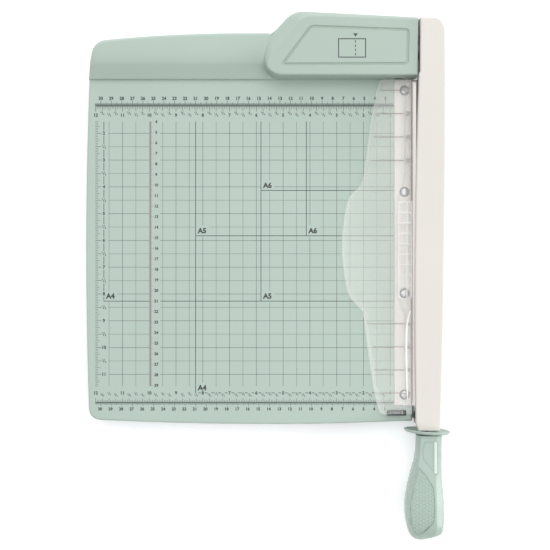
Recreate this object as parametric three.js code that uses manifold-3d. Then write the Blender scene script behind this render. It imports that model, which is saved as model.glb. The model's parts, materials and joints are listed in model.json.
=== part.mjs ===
// A lever-arm paper trimmer: a flat gridded base with a paper fence across its back, a steel
// blade strip along its right edge under a clear finger guard, and a blade arm that swings up
// about a sprung bolt in the housing at the back.
//
// Millimetres. While it is drawn, X = 0 is the cut, Y = 0 is the paper fence and Z = 0 is the
// table: +X is the arm's side, +Y the fence's side, and the handle points along -Y. The whole
// object is moved over the middle of its own footprint at the end.
import * as THREE from 'three';
import { mergeVertices } from 'three/addons/utils/BufferGeometryUtils.js';
import Module from 'manifold-3d';

const wasm = await Module();
wasm.setup();

// ---- driving dimensions ----------------------------------------------------
const GAP = 0.3; // left between pieces that rest on each other
const WALL = 3; // the base's moulded wall
const RIM_Z = 2.5; // underside of the base's rim
const BOARD_Z = 24; // the working surface
const BASE_RIGHT = -4; // the base's right wall, set back from the cut
const HEAD_CREST = 38.4; // top of the raised head behind the fence

const STRIP = { left: -21.5, front: -309, thick: 3 }; // the fixed blade
const STRIP_SCREW_X = -11.8;
const STRIP_SCREW_Y = [-10.1, -106.3, -202.5, -298.7];

const GUARD = { right: -5.2, back: -0.8, front: -316.6, under: 26, thick: 2, flare: 3 };
const RIDGE = { left: -12.3, top: 34, wall: 1.4 };
const TONGUE = { left: -21.4, right: -14.3, back: 10.8 };

const HOUSING = { right: -1.3, foot: BOARD_Z + GAP, edge: 42, top: 44, wall: 2.6 };

const PIVOT_Y = 26;
const PIVOT_Z = 32.5;
const BOLT_R = 4;

const ARM_BACK = 54.2;
const ARM_FRONT = -331.3;
const ARM_RAMP_BACK = 40; // the arm's top falls away in front of this line
const ARM_TOP_BACK = 48;
const ARM_TOP_FRONT = 34;
const LIP_DEPTH = 5.5; // how far the arm's left lip hangs beside the blade
const BLADE = { left: GAP, thick: 2, front: -326 };
const BAR = { left: 2.6, right: 10.6, depth: 12 };
const TANG = { right: 10.3, low: 20, high: 29.5, front: -395 };

const HANDLE_START = -336;
const HANDLE_Z = 25;

// ---- helpers ----------------------------------------------------------------
const V2 = (x, y) => new THREE.Vector2(x, y);

// A closed three.js geometry as a solid that can be cut and joined, with its faces turned out.
function solid(geometry) {
  const bare = geometry.clone();
  bare.deleteAttribute('normal');
  bare.deleteAttribute('uv');
  const merged = mergeVertices(bare, 1e-4);
  const positions = merged.attributes.position;
  const triangles = [];
  let volume = 0;
  for (let i = 0; i < merged.index.count; i += 3) {
    const corners = [0, 1, 2].map((k) => merged.index.getX(i + k));
    if (new Set(corners).size < 3) continue;
    triangles.push(...corners);
    const [a, b, c] = corners.map((k) => new THREE.Vector3().fromBufferAttribute(positions, k));
    volume += a.cross(b).dot(c);
  }
  if (volume < 0) triangles.reverse();
  return new wasm.Manifold(new wasm.Mesh({
    numProp: 3,
    vertProperties: new Float32Array(positions.array),
    triVerts: new Uint32Array(triangles),
  }));
}

// A finished solid as a geometry with flat faces.
function geometryOf(body) {
  const mesh = body.getMesh();
  const geometry = new THREE.BufferGeometry();
  geometry.setAttribute('position', new THREE.BufferAttribute(new Float32Array(mesh.vertProperties), 3));
  geometry.setIndex(new THREE.BufferAttribute(new Uint32Array(mesh.triVerts), 1));
  geometry.computeVertexNormals();
  return geometry;
}

const asShape = (outline) => (outline instanceof THREE.Shape ? outline : new THREE.Shape(outline));

// A plan outline (x, y) raised from z0 to z1.
function prismZ(outline, z0, z1, curveSegments = 6) {
  const options = { depth: z1 - z0, bevelEnabled: false, curveSegments };
  return solid(new THREE.ExtrudeGeometry(asShape(outline), options).translate(0, 0, z0));
}

// A side profile (y, z) drawn across from x0 to x1.
function prismX(outline, x0, x1, curveSegments = 6) {
  const options = { depth: x1 - x0, bevelEnabled: false, curveSegments };
  const geometry = new THREE.ExtrudeGeometry(asShape(outline), options);
  const turn = new THREE.Matrix4().makeBasis(
    new THREE.Vector3(0, 1, 0), new THREE.Vector3(0, 0, 1), new THREE.Vector3(1, 0, 0));
  return solid(geometry.applyMatrix4(turn).translate(x0, 0, 0));
}

// A cross-section (x, z) drawn back from y1 to y0.
function prismY(outline, y0, y1, curveSegments = 6) {
  const options = { depth: y1 - y0, bevelEnabled: false, curveSegments };
  const geometry = new THREE.ExtrudeGeometry(asShape(outline), options);
  return solid(geometry.rotateX(Math.PI / 2).translate(0, y1, 0));
}

function box(x0, x1, y0, y1, z0, z1) {
  const geometry = new THREE.BoxGeometry(x1 - x0, y1 - y0, z1 - z0);
  return solid(geometry.translate((x0 + x1) / 2, (y0 + y1) / 2, (z0 + z1) / 2));
}

// A turned piece about the Z axis. The profile runs [radius, z] from the axis to the axis, or
// closes on itself.
function turned(profile, segments = 14) {
  const points = profile.map(([radius, z]) => V2(radius, z));
  return new THREE.LatheGeometry(points, segments).rotateX(Math.PI / 2);
}

const rodProfile = (radius, z0, z1) => [[0, z0], [radius, z0], [radius, z1], [0, z1]];
const tubeProfile = (inner, outer, z0, z1) => (
  [[inner, z0], [outer, z0], [outer, z1], [inner, z1], [inner, z0]]);

const rodZ = (x, y, z0, z1, radius, segments = 12) => (
  solid(turned(rodProfile(radius, z0, z1), segments).translate(x, y, 0)));

// Round posts added to a body, or round holes cut in it, at places in plan.
const withPosts = (body, places, z0, z1, radius) => (
  places.reduce((all, [x, y]) => all.add(rodZ(x, y, z0, z1, radius)), body));
const withHoles = (body, places, z0, z1, radius) => (
  places.reduce((all, [x, y]) => all.subtract(rodZ(x, y, z0, z1, radius)), body));

// Turned pieces about the arm's pivot: the profile's z becomes x.
const onPivot = (profile, segments = 24) => (
  solid(turned(profile, segments).rotateY(Math.PI / 2).translate(0, PIVOT_Y, PIVOT_Z)));

// A skin over rings with equal numbers of points, closed by a fan at each end.
function loft(rings) {
  const count = rings[0].length;
  const points = rings.flat();
  const triangles = [];
  for (let r = 0; r + 1 < rings.length; r++) {
    for (let i = 0; i < count; i++) {
      const [a, b] = [r * count + i, r * count + ((i + 1) % count)];
      triangles.push(a, b, b + count, a, b + count, a + count);
    }
  }
  for (const [start, flip] of [[0, true], [points.length - count, false]]) {
    const middle = new THREE.Vector3();
    for (let i = 0; i < count; i++) middle.addScaledVector(points[start + i], 1 / count);
    const centre = points.push(middle) - 1;
    for (let i = 0; i < count; i++) {
      const [a, b] = [start + i, start + ((i + 1) % count)];
      triangles.push(centre, flip ? b : a, flip ? a : b);
    }
  }
  return solid(new THREE.BufferGeometry().setFromPoints(points).setIndex(triangles));
}

const ringAt = (outline, z) => outline.map((p) => new THREE.Vector3(p.x, p.y, z));

// The points of a closed outline, without the repeated last one.
function pointsOf(shape, divisions) {
  const points = shape.getPoints(divisions);
  if (points[0].distanceTo(points.at(-1)) < 1e-6) points.pop();
  return points;
}

// A closed anticlockwise outline moved in by a distance.
function inset(outline, distance) {
  return outline.map((point, i) => {
    const before = outline[(i + outline.length - 1) % outline.length];
    const after = outline[(i + 1) % outline.length];
    const arriving = point.clone().sub(before).normalize();
    const leaving = after.clone().sub(point).normalize();
    const inward = V2(-arriving.y - leaving.y, arriving.x + leaving.x).normalize();
    const share = Math.max(0.5, inward.dot(V2(-arriving.y, arriving.x)));
    return point.clone().addScaledVector(inward, distance / share);
  });
}

// A polygon whose corners are rounded off by the given cut-back.
function roundedPolygon(corners, cutBack) {
  const shape = new THREE.Shape();
  corners.forEach(([x, y], i) => {
    const corner = V2(x, y);
    const before = V2(...corners[(i + corners.length - 1) % corners.length]).sub(corner);
    const after = V2(...corners[(i + 1) % corners.length]).sub(corner);
    const start = corner.clone().addScaledVector(before.normalize(), cutBack);
    const end = corner.clone().addScaledVector(after.normalize(), cutBack);
    if (i === 0) shape.moveTo(start.x, start.y);
    else shape.lineTo(start.x, start.y);
    shape.quadraticCurveTo(x, y, end.x, end.y);
  });
  shape.closePath();
  return shape;
}

// A cross-recessed screw that points down: its head's seat is at the origin.
function screw({ headRadius, headHeight, shankRadius, length, countersunk = false }) {
  const seat = countersunk ? shankRadius : headRadius;
  const crown = countersunk ? headRadius : headRadius * 0.72;
  const rim = countersunk ? headHeight : headHeight * 0.55;
  const profile = [[0, -length], [shankRadius * 0.6, -length], [shankRadius, 1 - length],
    [shankRadius, 0], [seat, 0], [headRadius, rim], [crown, headHeight], [0, headHeight]];
  const arm = headRadius * 0.55;
  const slot = headRadius * 0.12;
  const floor = headHeight * 0.45;
  return solid(turned(profile, 10))
    .subtract(box(-arm, arm, -slot, slot, floor, headHeight + 1))
    .subtract(box(-slot, slot, -arm, arm, floor, headHeight + 1));
}

// ---- the base ---------------------------------------------------------------
// Every edge bows out a little, and the back swells out on the right to carry the housing.
function basePlan() {
  const plan = new THREE.Shape();
  plan.moveTo(BASE_RIGHT, -320);
  plan.lineTo(BASE_RIGHT, 52);
  plan.quadraticCurveTo(BASE_RIGHT, 56.4, -8, 56.8);
  plan.lineTo(-108, 62.6);
  plan.quadraticCurveTo(-118, 63.2, -125.5, 56.4);
  plan.lineTo(-140, 41.6);
  plan.quadraticCurveTo(-222, 42.5, -295, 36.6);
  plan.quadraticCurveTo(-311.6, 35.2, -311.4, 20);
  plan.quadraticCurveTo(-317.2, -150, -311.6, -311);
  plan.quadraticCurveTo(-311.2, -322.4, -299.5, -323);
  plan.quadraticCurveTo(-152, -330, -8, -324.2);
  plan.quadraticCurveTo(BASE_RIGHT, -324, BASE_RIGHT, -320);
  return pointsOf(plan, 6);
}

const BOTTOM_SCREWS = [[-285, -285], [-285, 0], [-150, -290], [-150, 12], [-45, -285], [-50, 10]];
const FEET = [[-292, -304], [-292, 14], [-155, -305], [-155, 28], [-34, -304], [-34, 34]];
const BRACKET_SCREWS = [[-34.5, 17], [-34.5, 43]];
const HOUSING_SCREWS = [[-120, 20], [-70, 46]];
const STRIP_SCREWS = STRIP_SCREW_Y.map((y) => [STRIP_SCREW_X, y]);
const TONGUE_SCREW = [-17.8, 7];
const CLIP_SCREWS = [[-26.9, -314.8], [-12.9, -314.8]];
const BOSS_R = 4.5;
const PILOT_R = 1.9; // clear of a 3 mm screw's thread
const THROUGH_R = 2.4; // clear of a 4 mm screw
const CLIP_PILOT_R = 1.3;

// Inset and height of the rings that round the board's edge, and the head's edge above it.
const BOARD_EDGE = [[0, RIM_Z], [0, BOARD_Z - 2.4], [0.6, BOARD_Z - 0.6], [2, BOARD_Z]];
const HEAD_EDGE = [[0, BOARD_Z - 3], [0, 31], [0.8, 34.4], [3, 37.2], [7, HEAD_CREST + 0.1]];
const HEAD_RIGHT = -100; // the head runs on under the housing's left side
const HOLLOW_RIGHT = -150; // the head's hollow stops short of the housing

const edgeRings = (plan, steps) => steps.map(([margin, z]) => ringAt(inset(plan, margin), z));

// Everything on the board's side of a line along Y.
const leftOf = (x) => box(-400, x, -400, 100, 0, 60);

// The head's section (y, z): a short step at the fence, then one rounded rise to the crest.
function headSection(depth) {
  const section = new THREE.Shape();
  section.moveTo(depth, BOARD_Z - 4);
  section.lineTo(100, BOARD_Z - 4);
  section.lineTo(100, HEAD_CREST - depth);
  section.lineTo(33, HEAD_CREST - depth);
  section.quadraticCurveTo(10 + depth, 36 - depth, depth, 27 - depth / 2);
  section.closePath();
  return section;
}

function baseHead(plan) {
  return loft(edgeRings(plan, HEAD_EDGE))
    .intersect(prismX(headSection(0), -330, HEAD_RIGHT))
    .subtract(housingBody(-GAP, BOARD_Z, HOUSING.top));
}

// The base's plan drawn in on all sides, about its own middle.
function innerPlan(margin) {
  const middle = V2(-157.6, -132);
  const [halfWide, halfDeep] = [155, 193];
  const shrink = V2(1 - margin / halfWide, 1 - margin / halfDeep);
  return basePlan().map((point) => point.sub(middle).multiply(shrink).add(middle));
}

function baseHollow(plan) {
  const inner = innerPlan(WALL);
  const ceiling = BOARD_Z - WALL;
  const headCeiling = HEAD_CREST - WALL - 1.4;
  const under = prismZ(inner, RIM_Z - 1, ceiling).intersect(leftOf(STRIP.left - WALL));
  const head = prismZ(inner, ceiling - 1, HEAD_CREST)
    .intersect(prismX(headSection(WALL), -330, HOLLOW_RIGHT))
    .subtract(prismZ(plan, headCeiling, HEAD_CREST + 1));
  return under.add(head);
}

function baseShell() {
  const plan = basePlan();
  let shell = loft(edgeRings(plan, BOARD_EDGE)).add(baseHead(plan)).subtract(baseHollow(plan));
  shell = withPosts(shell, [...BOTTOM_SCREWS, ...BRACKET_SCREWS], 6, BOARD_Z - 1, BOSS_R);
  shell = withHoles(shell, BOTTOM_SCREWS, 5, BOARD_Z - 5, PILOT_R);
  shell = withHoles(shell, BRACKET_SCREWS, 10, 30, PILOT_R);
  shell = withHoles(shell, HOUSING_SCREWS, 10, 30, THROUGH_R);

  // The seat of the fixed blade.
  const seatZ = BOARD_Z - STRIP.thick - 0.1;
  shell = shell.subtract(box(STRIP.left - 0.2, 5, STRIP.front - GAP, 0, seatZ, 60));
  shell = withHoles(shell, STRIP_SCREWS, 7, 30, THROUGH_R);

  // What the guard rests on: a post under its rear tongue and a pad under its front edge.
  const restZ = GUARD.under - 0.2;
  shell = withPosts(shell, [TONGUE_SCREW], BOARD_Z - 1, restZ, 3.4);
  shell = withHoles(shell, [TONGUE_SCREW], 14, 30, PILOT_R);
  shell = shell.add(box(-29.5, -10.3, -316.2, -310.6, BOARD_Z - 1, restZ));
  return withHoles(shell, CLIP_SCREWS, 15, 30, CLIP_PILOT_R);
}

const BOTTOM_COVER = { low: 3.3, high: 5.3 };
const FOOT = { radius: 8, stem: 2.5, high: 3, stemHigh: 6.4 };

function bottomCover() {
  const { low, high } = BOTTOM_COVER;
  const plate = prismZ(innerPlan(WALL + GAP), low, high).intersect(leftOf(STRIP.left - WALL - GAP));
  return withHoles(withHoles(plate, BOTTOM_SCREWS, 0, 9, PILOT_R), FEET, 0, 9, FOOT.stem + GAP);
}

// A rubber foot with a stem pressed up through the bottom cover.
function foot() {
  const { radius, stem, high, stemHigh } = FOOT;
  return solid(turned([[0, 0], [radius - 0.8, 0], [radius, 0.8], [radius, high], [stem, high],
    [stem, stemHigh], [0, stemHigh]]));
}

// ---- the fixed blade and its guard -----------------------------------------
function fixedBlade() {
  const low = BOARD_Z - STRIP.thick;
  const strip = box(STRIP.left, 0, STRIP.front, -0.2, low, BOARD_Z);
  const [hole, rim] = [2.6, 4.9];
  const sink = solid(turned([[0, low - 1], [hole, low - 1], [hole, low + 0.7], [rim, BOARD_Z + 0.01],
    [rim, BOARD_Z + 2], [0, BOARD_Z + 2]], 20));
  return STRIP_SCREWS.reduce((all, [x, y]) => all.subtract(sink.translate([x, y, 0])), strip);
}

// The guard's left edge swells out in the middle. These are the points of its back half, and
// the front half mirrors them.
const GUARD_EDGE = [[-36.7, -5.6], [-40.5, -19], [-45.5, -49.4], [-51, -90.8], [-53.8, -100],
  [-64.4, -112], [-69, -130]];
const GUARD_MIDDLE = [-71.7, -158.7];
const GUARD_FLARE = { start: -32, width: 8 };
const GUARD_FLAT = { start: -25, width: 10 }; // where the plate's top and bottom are quite flat

function guardPlan() {
  const middleY = GUARD_MIDDLE[1];
  const mirrored = GUARD_EDGE.map(([x, y]) => [x, 2 * middleY - y]).reverse();
  const edge = [...GUARD_EDGE, GUARD_MIDDLE, ...mirrored].map(([x, y]) => V2(x, y));
  const plan = new THREE.Shape();
  plan.moveTo(GUARD.right, GUARD.front);
  plan.lineTo(GUARD.right, GUARD.back);
  plan.lineTo(-31.5, GUARD.back);
  plan.quadraticCurveTo(-35.8, GUARD.back, edge[0].x, edge[0].y);
  plan.splineThru(edge.slice(1));
  plan.quadraticCurveTo(-35.8, GUARD.front, -31.5, GUARD.front);
  plan.closePath();
  return pointsOf(plan, 3);
}

// The guard's plate, flat over the blade, with its left edge flared up to let paper in.
function guardPlate() {
  const plan = guardPlan();
  const share = (x, from, width) => THREE.MathUtils.clamp((from - x) / width, 0, 1);
  const flat = (z) => plan.map(({ x, y }) => {
    const inward = share(x, GUARD_FLAT.start, GUARD_FLAT.width);
    return new THREE.Vector3(x + 5 * inward, y + 0.026 * inward * (GUARD_MIDDLE[1] - y), z);
  });
  const flared = (z) => plan.map(({ x, y }) => {
    const lift = GUARD.flare * share(x, GUARD_FLARE.start, GUARD_FLARE.width);
    return new THREE.Vector3(x, y, z + lift);
  });
  const top = GUARD.under + GUARD.thick;
  return loft([flat(GUARD.under), flared(GUARD.under), flared(top), flat(top)]);
}

// The cross-section of the ridge that bridges the blade, or of the tunnel inside it.
function ridgeSection(grow, high) {
  const chamfer = 1.2;
  const { left } = RIDGE;
  const { right, under } = GUARD;
  return [V2(left - grow, under), V2(right + grow, under), V2(right + grow, high - chamfer),
    V2(right - chamfer, high), V2(left + chamfer, high), V2(left - grow, high - chamfer)];
}

const RIB_PITCH = 22.05;

function fingerGuard() {
  const { wall, top, left } = RIDGE;
  const tunnelLow = 0.5;
  let tunnel = prismY(ridgeSection(-wall, top - wall), GUARD.front + 8 + wall, GUARD.back - wall)
    .translate([0, 0, -tunnelLow]);
  for (let y = -20; y > GUARD.front + 12; y -= RIB_PITCH) {
    const rib = box(left - 1, GUARD.right + 1, y - 0.5, y + 0.5, GUARD.under + 1, top + 1);
    tunnel = tunnel.subtract(rib);
  }
  const ridge = prismY(ridgeSection(0, top), GUARD.front + 8, GUARD.back);
  const tongue = box(TONGUE.left, TONGUE.right, GUARD.back - 1, TONGUE.back,
    GUARD.under, GUARD.under + GUARD.thick);
  const guard = guardPlate().add(ridge).subtract(tunnel).add(tongue);
  return withHoles(withHoles(guard, [TONGUE_SCREW], 20, 40, PILOT_R), CLIP_SCREWS, 20, 40, CLIP_PILOT_R);
}

// A thin steel clip that laps over the guard's front edge.
function guardClip() {
  const [back, front] = [-313, GUARD.front - 1];
  const low = GUARD.under + GUARD.thick + 0.15;
  const thick = 0.7;
  const section = [V2(back, low), V2(back, low + thick), V2(front, low + thick), V2(front, BOARD_Z + 1),
    V2(front + thick, BOARD_Z + 1), V2(front + thick, low)];
  return withHoles(prismX(section, -28.9, -10.9), CLIP_SCREWS, 20, 40, CLIP_PILOT_R);
}

// ---- the pivot housing ------------------------------------------------------
// The housing's plan: at its foot for rise = 0, and round its flat top for rise = 1. The left
// side leans in a long way at the back and stands almost upright at the front.
function housingPlan(rise) {
  const at = (footValue, topValue) => THREE.MathUtils.lerp(footValue, topValue, rise);
  const lean = 0.4; // the right wall isn't quite square to the fence
  const plan = new THREE.Shape();
  plan.moveTo(HOUSING.right - lean, at(0.2, 1.6));
  plan.lineTo(HOUSING.right + lean, at(56.4, 53.8));
  plan.lineTo(at(-108, -100), at(62.2, 56.7));
  plan.quadraticCurveTo(at(-117.6, -107.8), at(62.8, 57), at(-125.2, -112.8), at(56.2, 51.4));
  plan.lineTo(at(-139.8, -136.4), at(41, 22));
  plan.quadraticCurveTo(at(-152.5, -146), at(12, 11.4), at(-140.6, -137.6), at(3.4, 5.6));
  plan.quadraticCurveTo(at(-137.6, -134), at(0.4, 1.8), at(-131, -128.5), at(0.2, 1.6));
  plan.closePath();
  return pointsOf(plan, 6);
}

// The housing's outside, drawn in by a margin.
function housingBody(margin, low, high) {
  const level = (rise, z) => ringAt(inset(housingPlan(rise), margin), z);
  const drop = HOUSING.top - high;
  return loft([level(0, low), level(0.86, HOUSING.edge - drop), level(1, high)]);
}

const GROOVE = [[-10, 10.2], [-9.2, 44.4], [-102, 47.8], [-130.6, 9.6]];
const GROOVE_WIDE = 3;

// The shallow groove that frames the housing's top.
function housingGroove() {
  const groove = roundedPolygon(GROOVE, 4);
  const inner = inset(pointsOf(roundedPolygon(GROOVE, 4), 6), GROOVE_WIDE);
  groove.holes.push(new THREE.Path(inner));
  return prismZ(groove, HOUSING.top - 1, HOUSING.top + 1);
}

function pivotHousing() {
  const { foot: footZ, top, wall } = HOUSING;
  let housing = housingBody(0, footZ, top).subtract(housingBody(wall, footZ - 1, top - wall));
  housing = withPosts(housing, HOUSING_SCREWS, footZ, top - 1, BOSS_R);
  housing = withHoles(housing, HOUSING_SCREWS, footZ - 4, top - 7, PILOT_R);
  const boltHole = onPivot(rodProfile(9.6, -10, 2));
  const slotTop = GUARD.under + GUARD.thick + GAP;
  const tongueSlot = box(TONGUE.left - 0.4, TONGUE.right + 0.4, -3, 6, footZ - 4, slotTop);
  return housing.subtract(housingGroove()).subtract(boltHole).subtract(tongueSlot);
}

// ---- the pivot --------------------------------------------------------------
const BRACKET = { left: -40, right: -8, thick: 2, upright: 3, top: 40.6 };
const BUSH = { bore: BOLT_R + 0.15, outside: 6.2, flange: 8 };
const BOLT_HOLE_R = BOLT_R + GAP;

// A steel angle: its foot is screwed to the base, and its upright holds the bush.
function pivotBracket() {
  const low = BOARD_Z + 0.15;
  const uprightLeft = BRACKET.right - BRACKET.upright;
  const plate = box(BRACKET.left, BRACKET.right, 11.5, 50, low, low + BRACKET.thick);
  const upright = box(uprightLeft, BRACKET.right, 12, 42, low, BRACKET.top);
  const window = box(-29, uprightLeft, 16, 36.5, 0, low + 9); // clears the nut
  const bushHole = onPivot(rodProfile(BUSH.outside + GAP, -20, 0));
  const bracket = plate.add(upright).subtract(window).subtract(bushHole);
  return withHoles(bracket, BRACKET_SCREWS, 20, 30, THROUGH_R);
}

function pivotBush() {
  const { bore, outside, flange } = BUSH;
  return onPivot([[bore, -12.9], [flange, -12.9], [flange, -11.3], [outside, -11.3], [outside, -1.9],
    [bore, -1.9], [bore, -12.9]]);
}

const thrustWasher = () => onPivot(tubeProfile(BOLT_HOLE_R, 9, -1.5, 0.1));
const springWasher = () => onPivot(tubeProfile(BOLT_HOLE_R, 8, -21.2, -19.8));

// The bolt's head is sunk in the arm's right side, and its end passes through the nut.
function pivotBolt() {
  const headR = 7.4;
  const shank = onPivot([[0, -27.6], [BOLT_R - 0.8, -27.6], [BOLT_R, -26.8], [BOLT_R, 18.6],
    [headR, 18.6], [headR, 21], [headR - 0.8, 22], [0, 22]]);
  const socket = onPivot(rodProfile(3, 19.6, 24), 6);
  return shank.subtract(socket);
}

function pivotNut() {
  return onPivot(rodProfile(7.4, -26, -21.5), 6).subtract(onPivot(rodProfile(BOLT_HOLE_R, -30, -20)));
}

// A compression spring round the bolt, between the bracket's bush and the washer.
function pivotSpring() {
  const turns = 3.5;
  const [start, end] = [-14, -19];
  const [coilR, wireR] = [5.9, 0.55];
  class Helix extends THREE.Curve {
    getPoint(t) {
      const angle = 2 * Math.PI * turns * t;
      const x = start + (end - start) * t;
      return new THREE.Vector3(x, coilR * Math.cos(angle), coilR * Math.sin(angle));
    }
  }
  const wire = new THREE.Shape().absarc(0, 0, wireR, 0, 2 * Math.PI);
  const options = { steps: 42, extrudePath: new Helix(), curveSegments: 3, bevelEnabled: false };
  return solid(new THREE.ExtrudeGeometry(wire, options)).translate([0, PIVOT_Y, PIVOT_Z]);
}

// ---- the arm ----------------------------------------------------------------
// The arm's sides, top and bottom, from 0 at the pivot's end to 1 at the front.
const along = (y) => Math.max(0, (ARM_RAMP_BACK - y) / (ARM_RAMP_BACK - ARM_FRONT));
const armTop = (y) => ARM_TOP_BACK - (ARM_TOP_BACK - ARM_TOP_FRONT) * along(y);
const armLeft = (y) => 0.3 - 12.9 * along(y) + 10.6 * along(y) ** 2;
const armRight = (y) => 22.8 + 4.1 * along(y) - 6.2 * along(y) ** 2;
const armLow = (y) => 23 - 8 * along(y);

// One cross-section of the arm, its top corners rounded.
function armRing(y, left, right, low, top) {
  const section = [[left, low], [right, low], [right, top - 2.6], [right - 0.8, top - 0.8],
    [right - 2.6, top], [left + 1.2, top], [left + 0.35, top - 0.35], [left, top - 1.2]];
  return section.map(([x, z]) => new THREE.Vector3(x, y, z));
}

function armBody() {
  const rings = [];
  const corner = 10.5; // the back end's right corner, in plan
  for (const turn of [90, 72, 50, 28, 0]) {
    const angle = THREE.MathUtils.degToRad(turn);
    const back = ARM_BACK - corner * (1 - Math.sin(angle));
    const cut = corner * (1 - Math.cos(angle));
    const drop = 4 * (1 - Math.cos(Math.max(0, angle - 0.6)));
    const [low, top] = [armLow(back) + 2 * drop, armTop(back) - drop];
    rings.push(armRing(back, armLeft(back), armRight(back) - cut, low, top));
  }
  for (const y of [20, -20, -70, -120, -170, -220, -270, -310, -322]) {
    rings.push(armRing(y, armLeft(y), armRight(y), armLow(y), armTop(y)));
  }
  const slant = 1.2; // the front end's left corner is cut back
  rings.push(armRing(ARM_FRONT, armLeft(ARM_FRONT) + slant, armRight(ARM_FRONT),
    armLow(ARM_FRONT), ARM_TOP_FRONT));
  return loft(rings);
}

const ROOF = 3.5;
const SIDE = 2.5;
const bladeTop = (y) => armTop(y) - ROOF - 1;

// The channel inside the cover that holds the bar and the blade.
function armChannel() {
  return loft([48, 20, -40, -100, -160, -220, -280, -340].map((y) => {
    const right = armRight(Math.max(y, ARM_FRONT)) - SIDE;
    const [low, high] = [5, armTop(y) - ROOF];
    const section = [[0, low], [right, low], [right, high], [0, high]];
    return section.map(([x, z]) => new THREE.Vector3(x, y, z));
  }));
}

function armCover() {
  let cover = armBody().subtract(armChannel());
  const [front, back] = [ARM_FRONT - 5, 60];
  const underLip = [V2(front, 0), V2(back, 0), V2(back, armTop(back) - LIP_DEPTH),
    V2(ARM_RAMP_BACK, armTop(back) - LIP_DEPTH), V2(front, armTop(front) - LIP_DEPTH)];
  const besideHousing = box(-5, 0.1, 3, 60, 0, 60);
  const boltBoss = onPivot(rodProfile(11, 11, 21)).intersect(armBody());
  cover = cover.subtract(prismX(underLip, -20, 0.1)).subtract(besideHousing).add(boltBoss);
  const headHole = onPivot(rodProfile(8, 18.3, 30));
  return cover.subtract(headHole).subtract(onPivot(rodProfile(BOLT_HOLE_R, 0, 30)));
}

// The bar inside the arm: an eye round the bolt, a straight run, and a tang for the handle.
function armBar() {
  const { left, right, depth } = BAR;
  const [back, front] = [44, -331];
  const profile = [[back, bladeTop(back)], [-318, bladeTop(-318)], [-325, TANG.high],
    [front, TANG.high], [front, TANG.low], [-325, TANG.low], [-312, bladeTop(-312) - depth],
    [0, bladeTop(0) - depth], [back, bladeTop(back) - depth - 4]].map(([y, z]) => V2(y, z));
  const tang = box(left + 0.4, TANG.right, TANG.front, front + 1, TANG.low, TANG.high);
  const eye = onPivot(rodProfile(11, left, right));
  const underRoof = box(0, 20, TANG.front - 1, back + 2, 0, armTop(back) - ROOF - GAP);
  const bar = prismX(profile, left, right).add(tang).add(eye).intersect(underRoof);
  return withScrewHoles(bar).subtract(onPivot(rodProfile(BOLT_HOLE_R, 0, 30)));
}

const BLADE_SCREW_Y = [-24, -120, -216, -310];
const bladeScrewZ = (y) => bladeTop(y) - 5.5;

// The blade screws point along +X, with their heads sunk flush in the blade.
function bladeScrewBody(y, ease = 0) {
  const face = BLADE.left - (ease ? 1 : -0.05);
  const rim = 3.6 + ease;
  const shank = 1.9 + ease;
  const profile = [[0, face], [rim, face], [rim, BLADE.left + 0.3], [shank, BLADE.left + 1.8],
    [shank, 8 + ease], [0, 8 + ease]];
  return solid(turned(profile, 12).rotateY(Math.PI / 2).translate(0, y, bladeScrewZ(y)));
}

const withScrewHoles = (body) => (
  BLADE_SCREW_Y.reduce((all, y) => all.subtract(bladeScrewBody(y, 0.25)), body));

function bladeScrew(y) {
  const [arm, slot] = [2, 0.4];
  const depth = BLADE.left + 1;
  const z = bladeScrewZ(y);
  return bladeScrewBody(y)
    .subtract(box(-1, depth, y - arm, y + arm, z - slot, z + slot))
    .subtract(box(-1, depth, y - slot, y + slot, z - arm, z + arm));
}

// The moving blade: its cutting edge hangs in a long shallow curve below the board.
function movingBlade() {
  const profile = new THREE.Shape();
  profile.moveTo(38, bladeTop(38));
  profile.lineTo(BLADE.front, bladeTop(BLADE.front));
  profile.lineTo(BLADE.front, 14);
  profile.quadraticCurveTo(BLADE.front, 9.5, -319, 9);
  profile.quadraticCurveTo(-170, 4.5, 8, 21.5);
  profile.lineTo(38, 24);
  profile.closePath();
  const blade = prismX(profile, BLADE.left, BLADE.left + BLADE.thick, 8);
  return withScrewHoles(blade).subtract(onPivot(rodProfile(BOLT_HOLE_R, -5, 30)));
}

// ---- the hand guard and the handle ------------------------------------------
const HAND_GUARD = { x: 9.3, y: -333.6, z: 24.5, halfWide: 22, halfHigh: 19, tilt: 4 };

// The slot that the tang passes through.
const tangSlot = () => (
  box(BAR.left + 0.1, TANG.right + GAP, TANG.front - GAP, -320, TANG.low - GAP, TANG.high + GAP));

// An oval dish that opens back towards the arm.
function handGuard() {
  const profile = [[0, -1.4], [0.75, -1.2], [0.96, 0.2], [1, 1.4], [0.93, 1.7], [0.7, 0.7], [0, 0.5]];
  const dish = turned(profile.map(([radius, z]) => [radius, z * 1.15]), 28);
  dish.scale(HAND_GUARD.halfWide, HAND_GUARD.halfHigh, 1).rotateX(-Math.PI / 2);
  dish.rotateZ(THREE.MathUtils.degToRad(-HAND_GUARD.tilt));
  dish.translate(HAND_GUARD.x, HAND_GUARD.y, HAND_GUARD.z);
  return solid(dish).subtract(tangSlot());
}

// The handle's outline: distance from the hand guard, left side, right side and half height.
const HANDLE_STATIONS = [[0, -1.3, 23.2, 12], [20, -2.6, 22.9, 12.1], [40, -7.8, 23.2, 13.2],
  [60, -11.8, 24.8, 14.2], [78, -11.7, 25.5, 13.8], [90, -8.3, 23.6, 11], [96.5, -3, 17, 7.5],
  [99.2, 2.2, 11, 3.5]];
// The handle's section, as shares of its half width and half height: a flat top with a facet
// on each side.
const HANDLE_SECTION = [[-1, 0], [-0.93, 0.42], [-0.66, 0.86], [-0.4, 1], [0.42, 1], [0.76, 0.78],
  [0.96, 0.4], [1, 0]];

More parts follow.
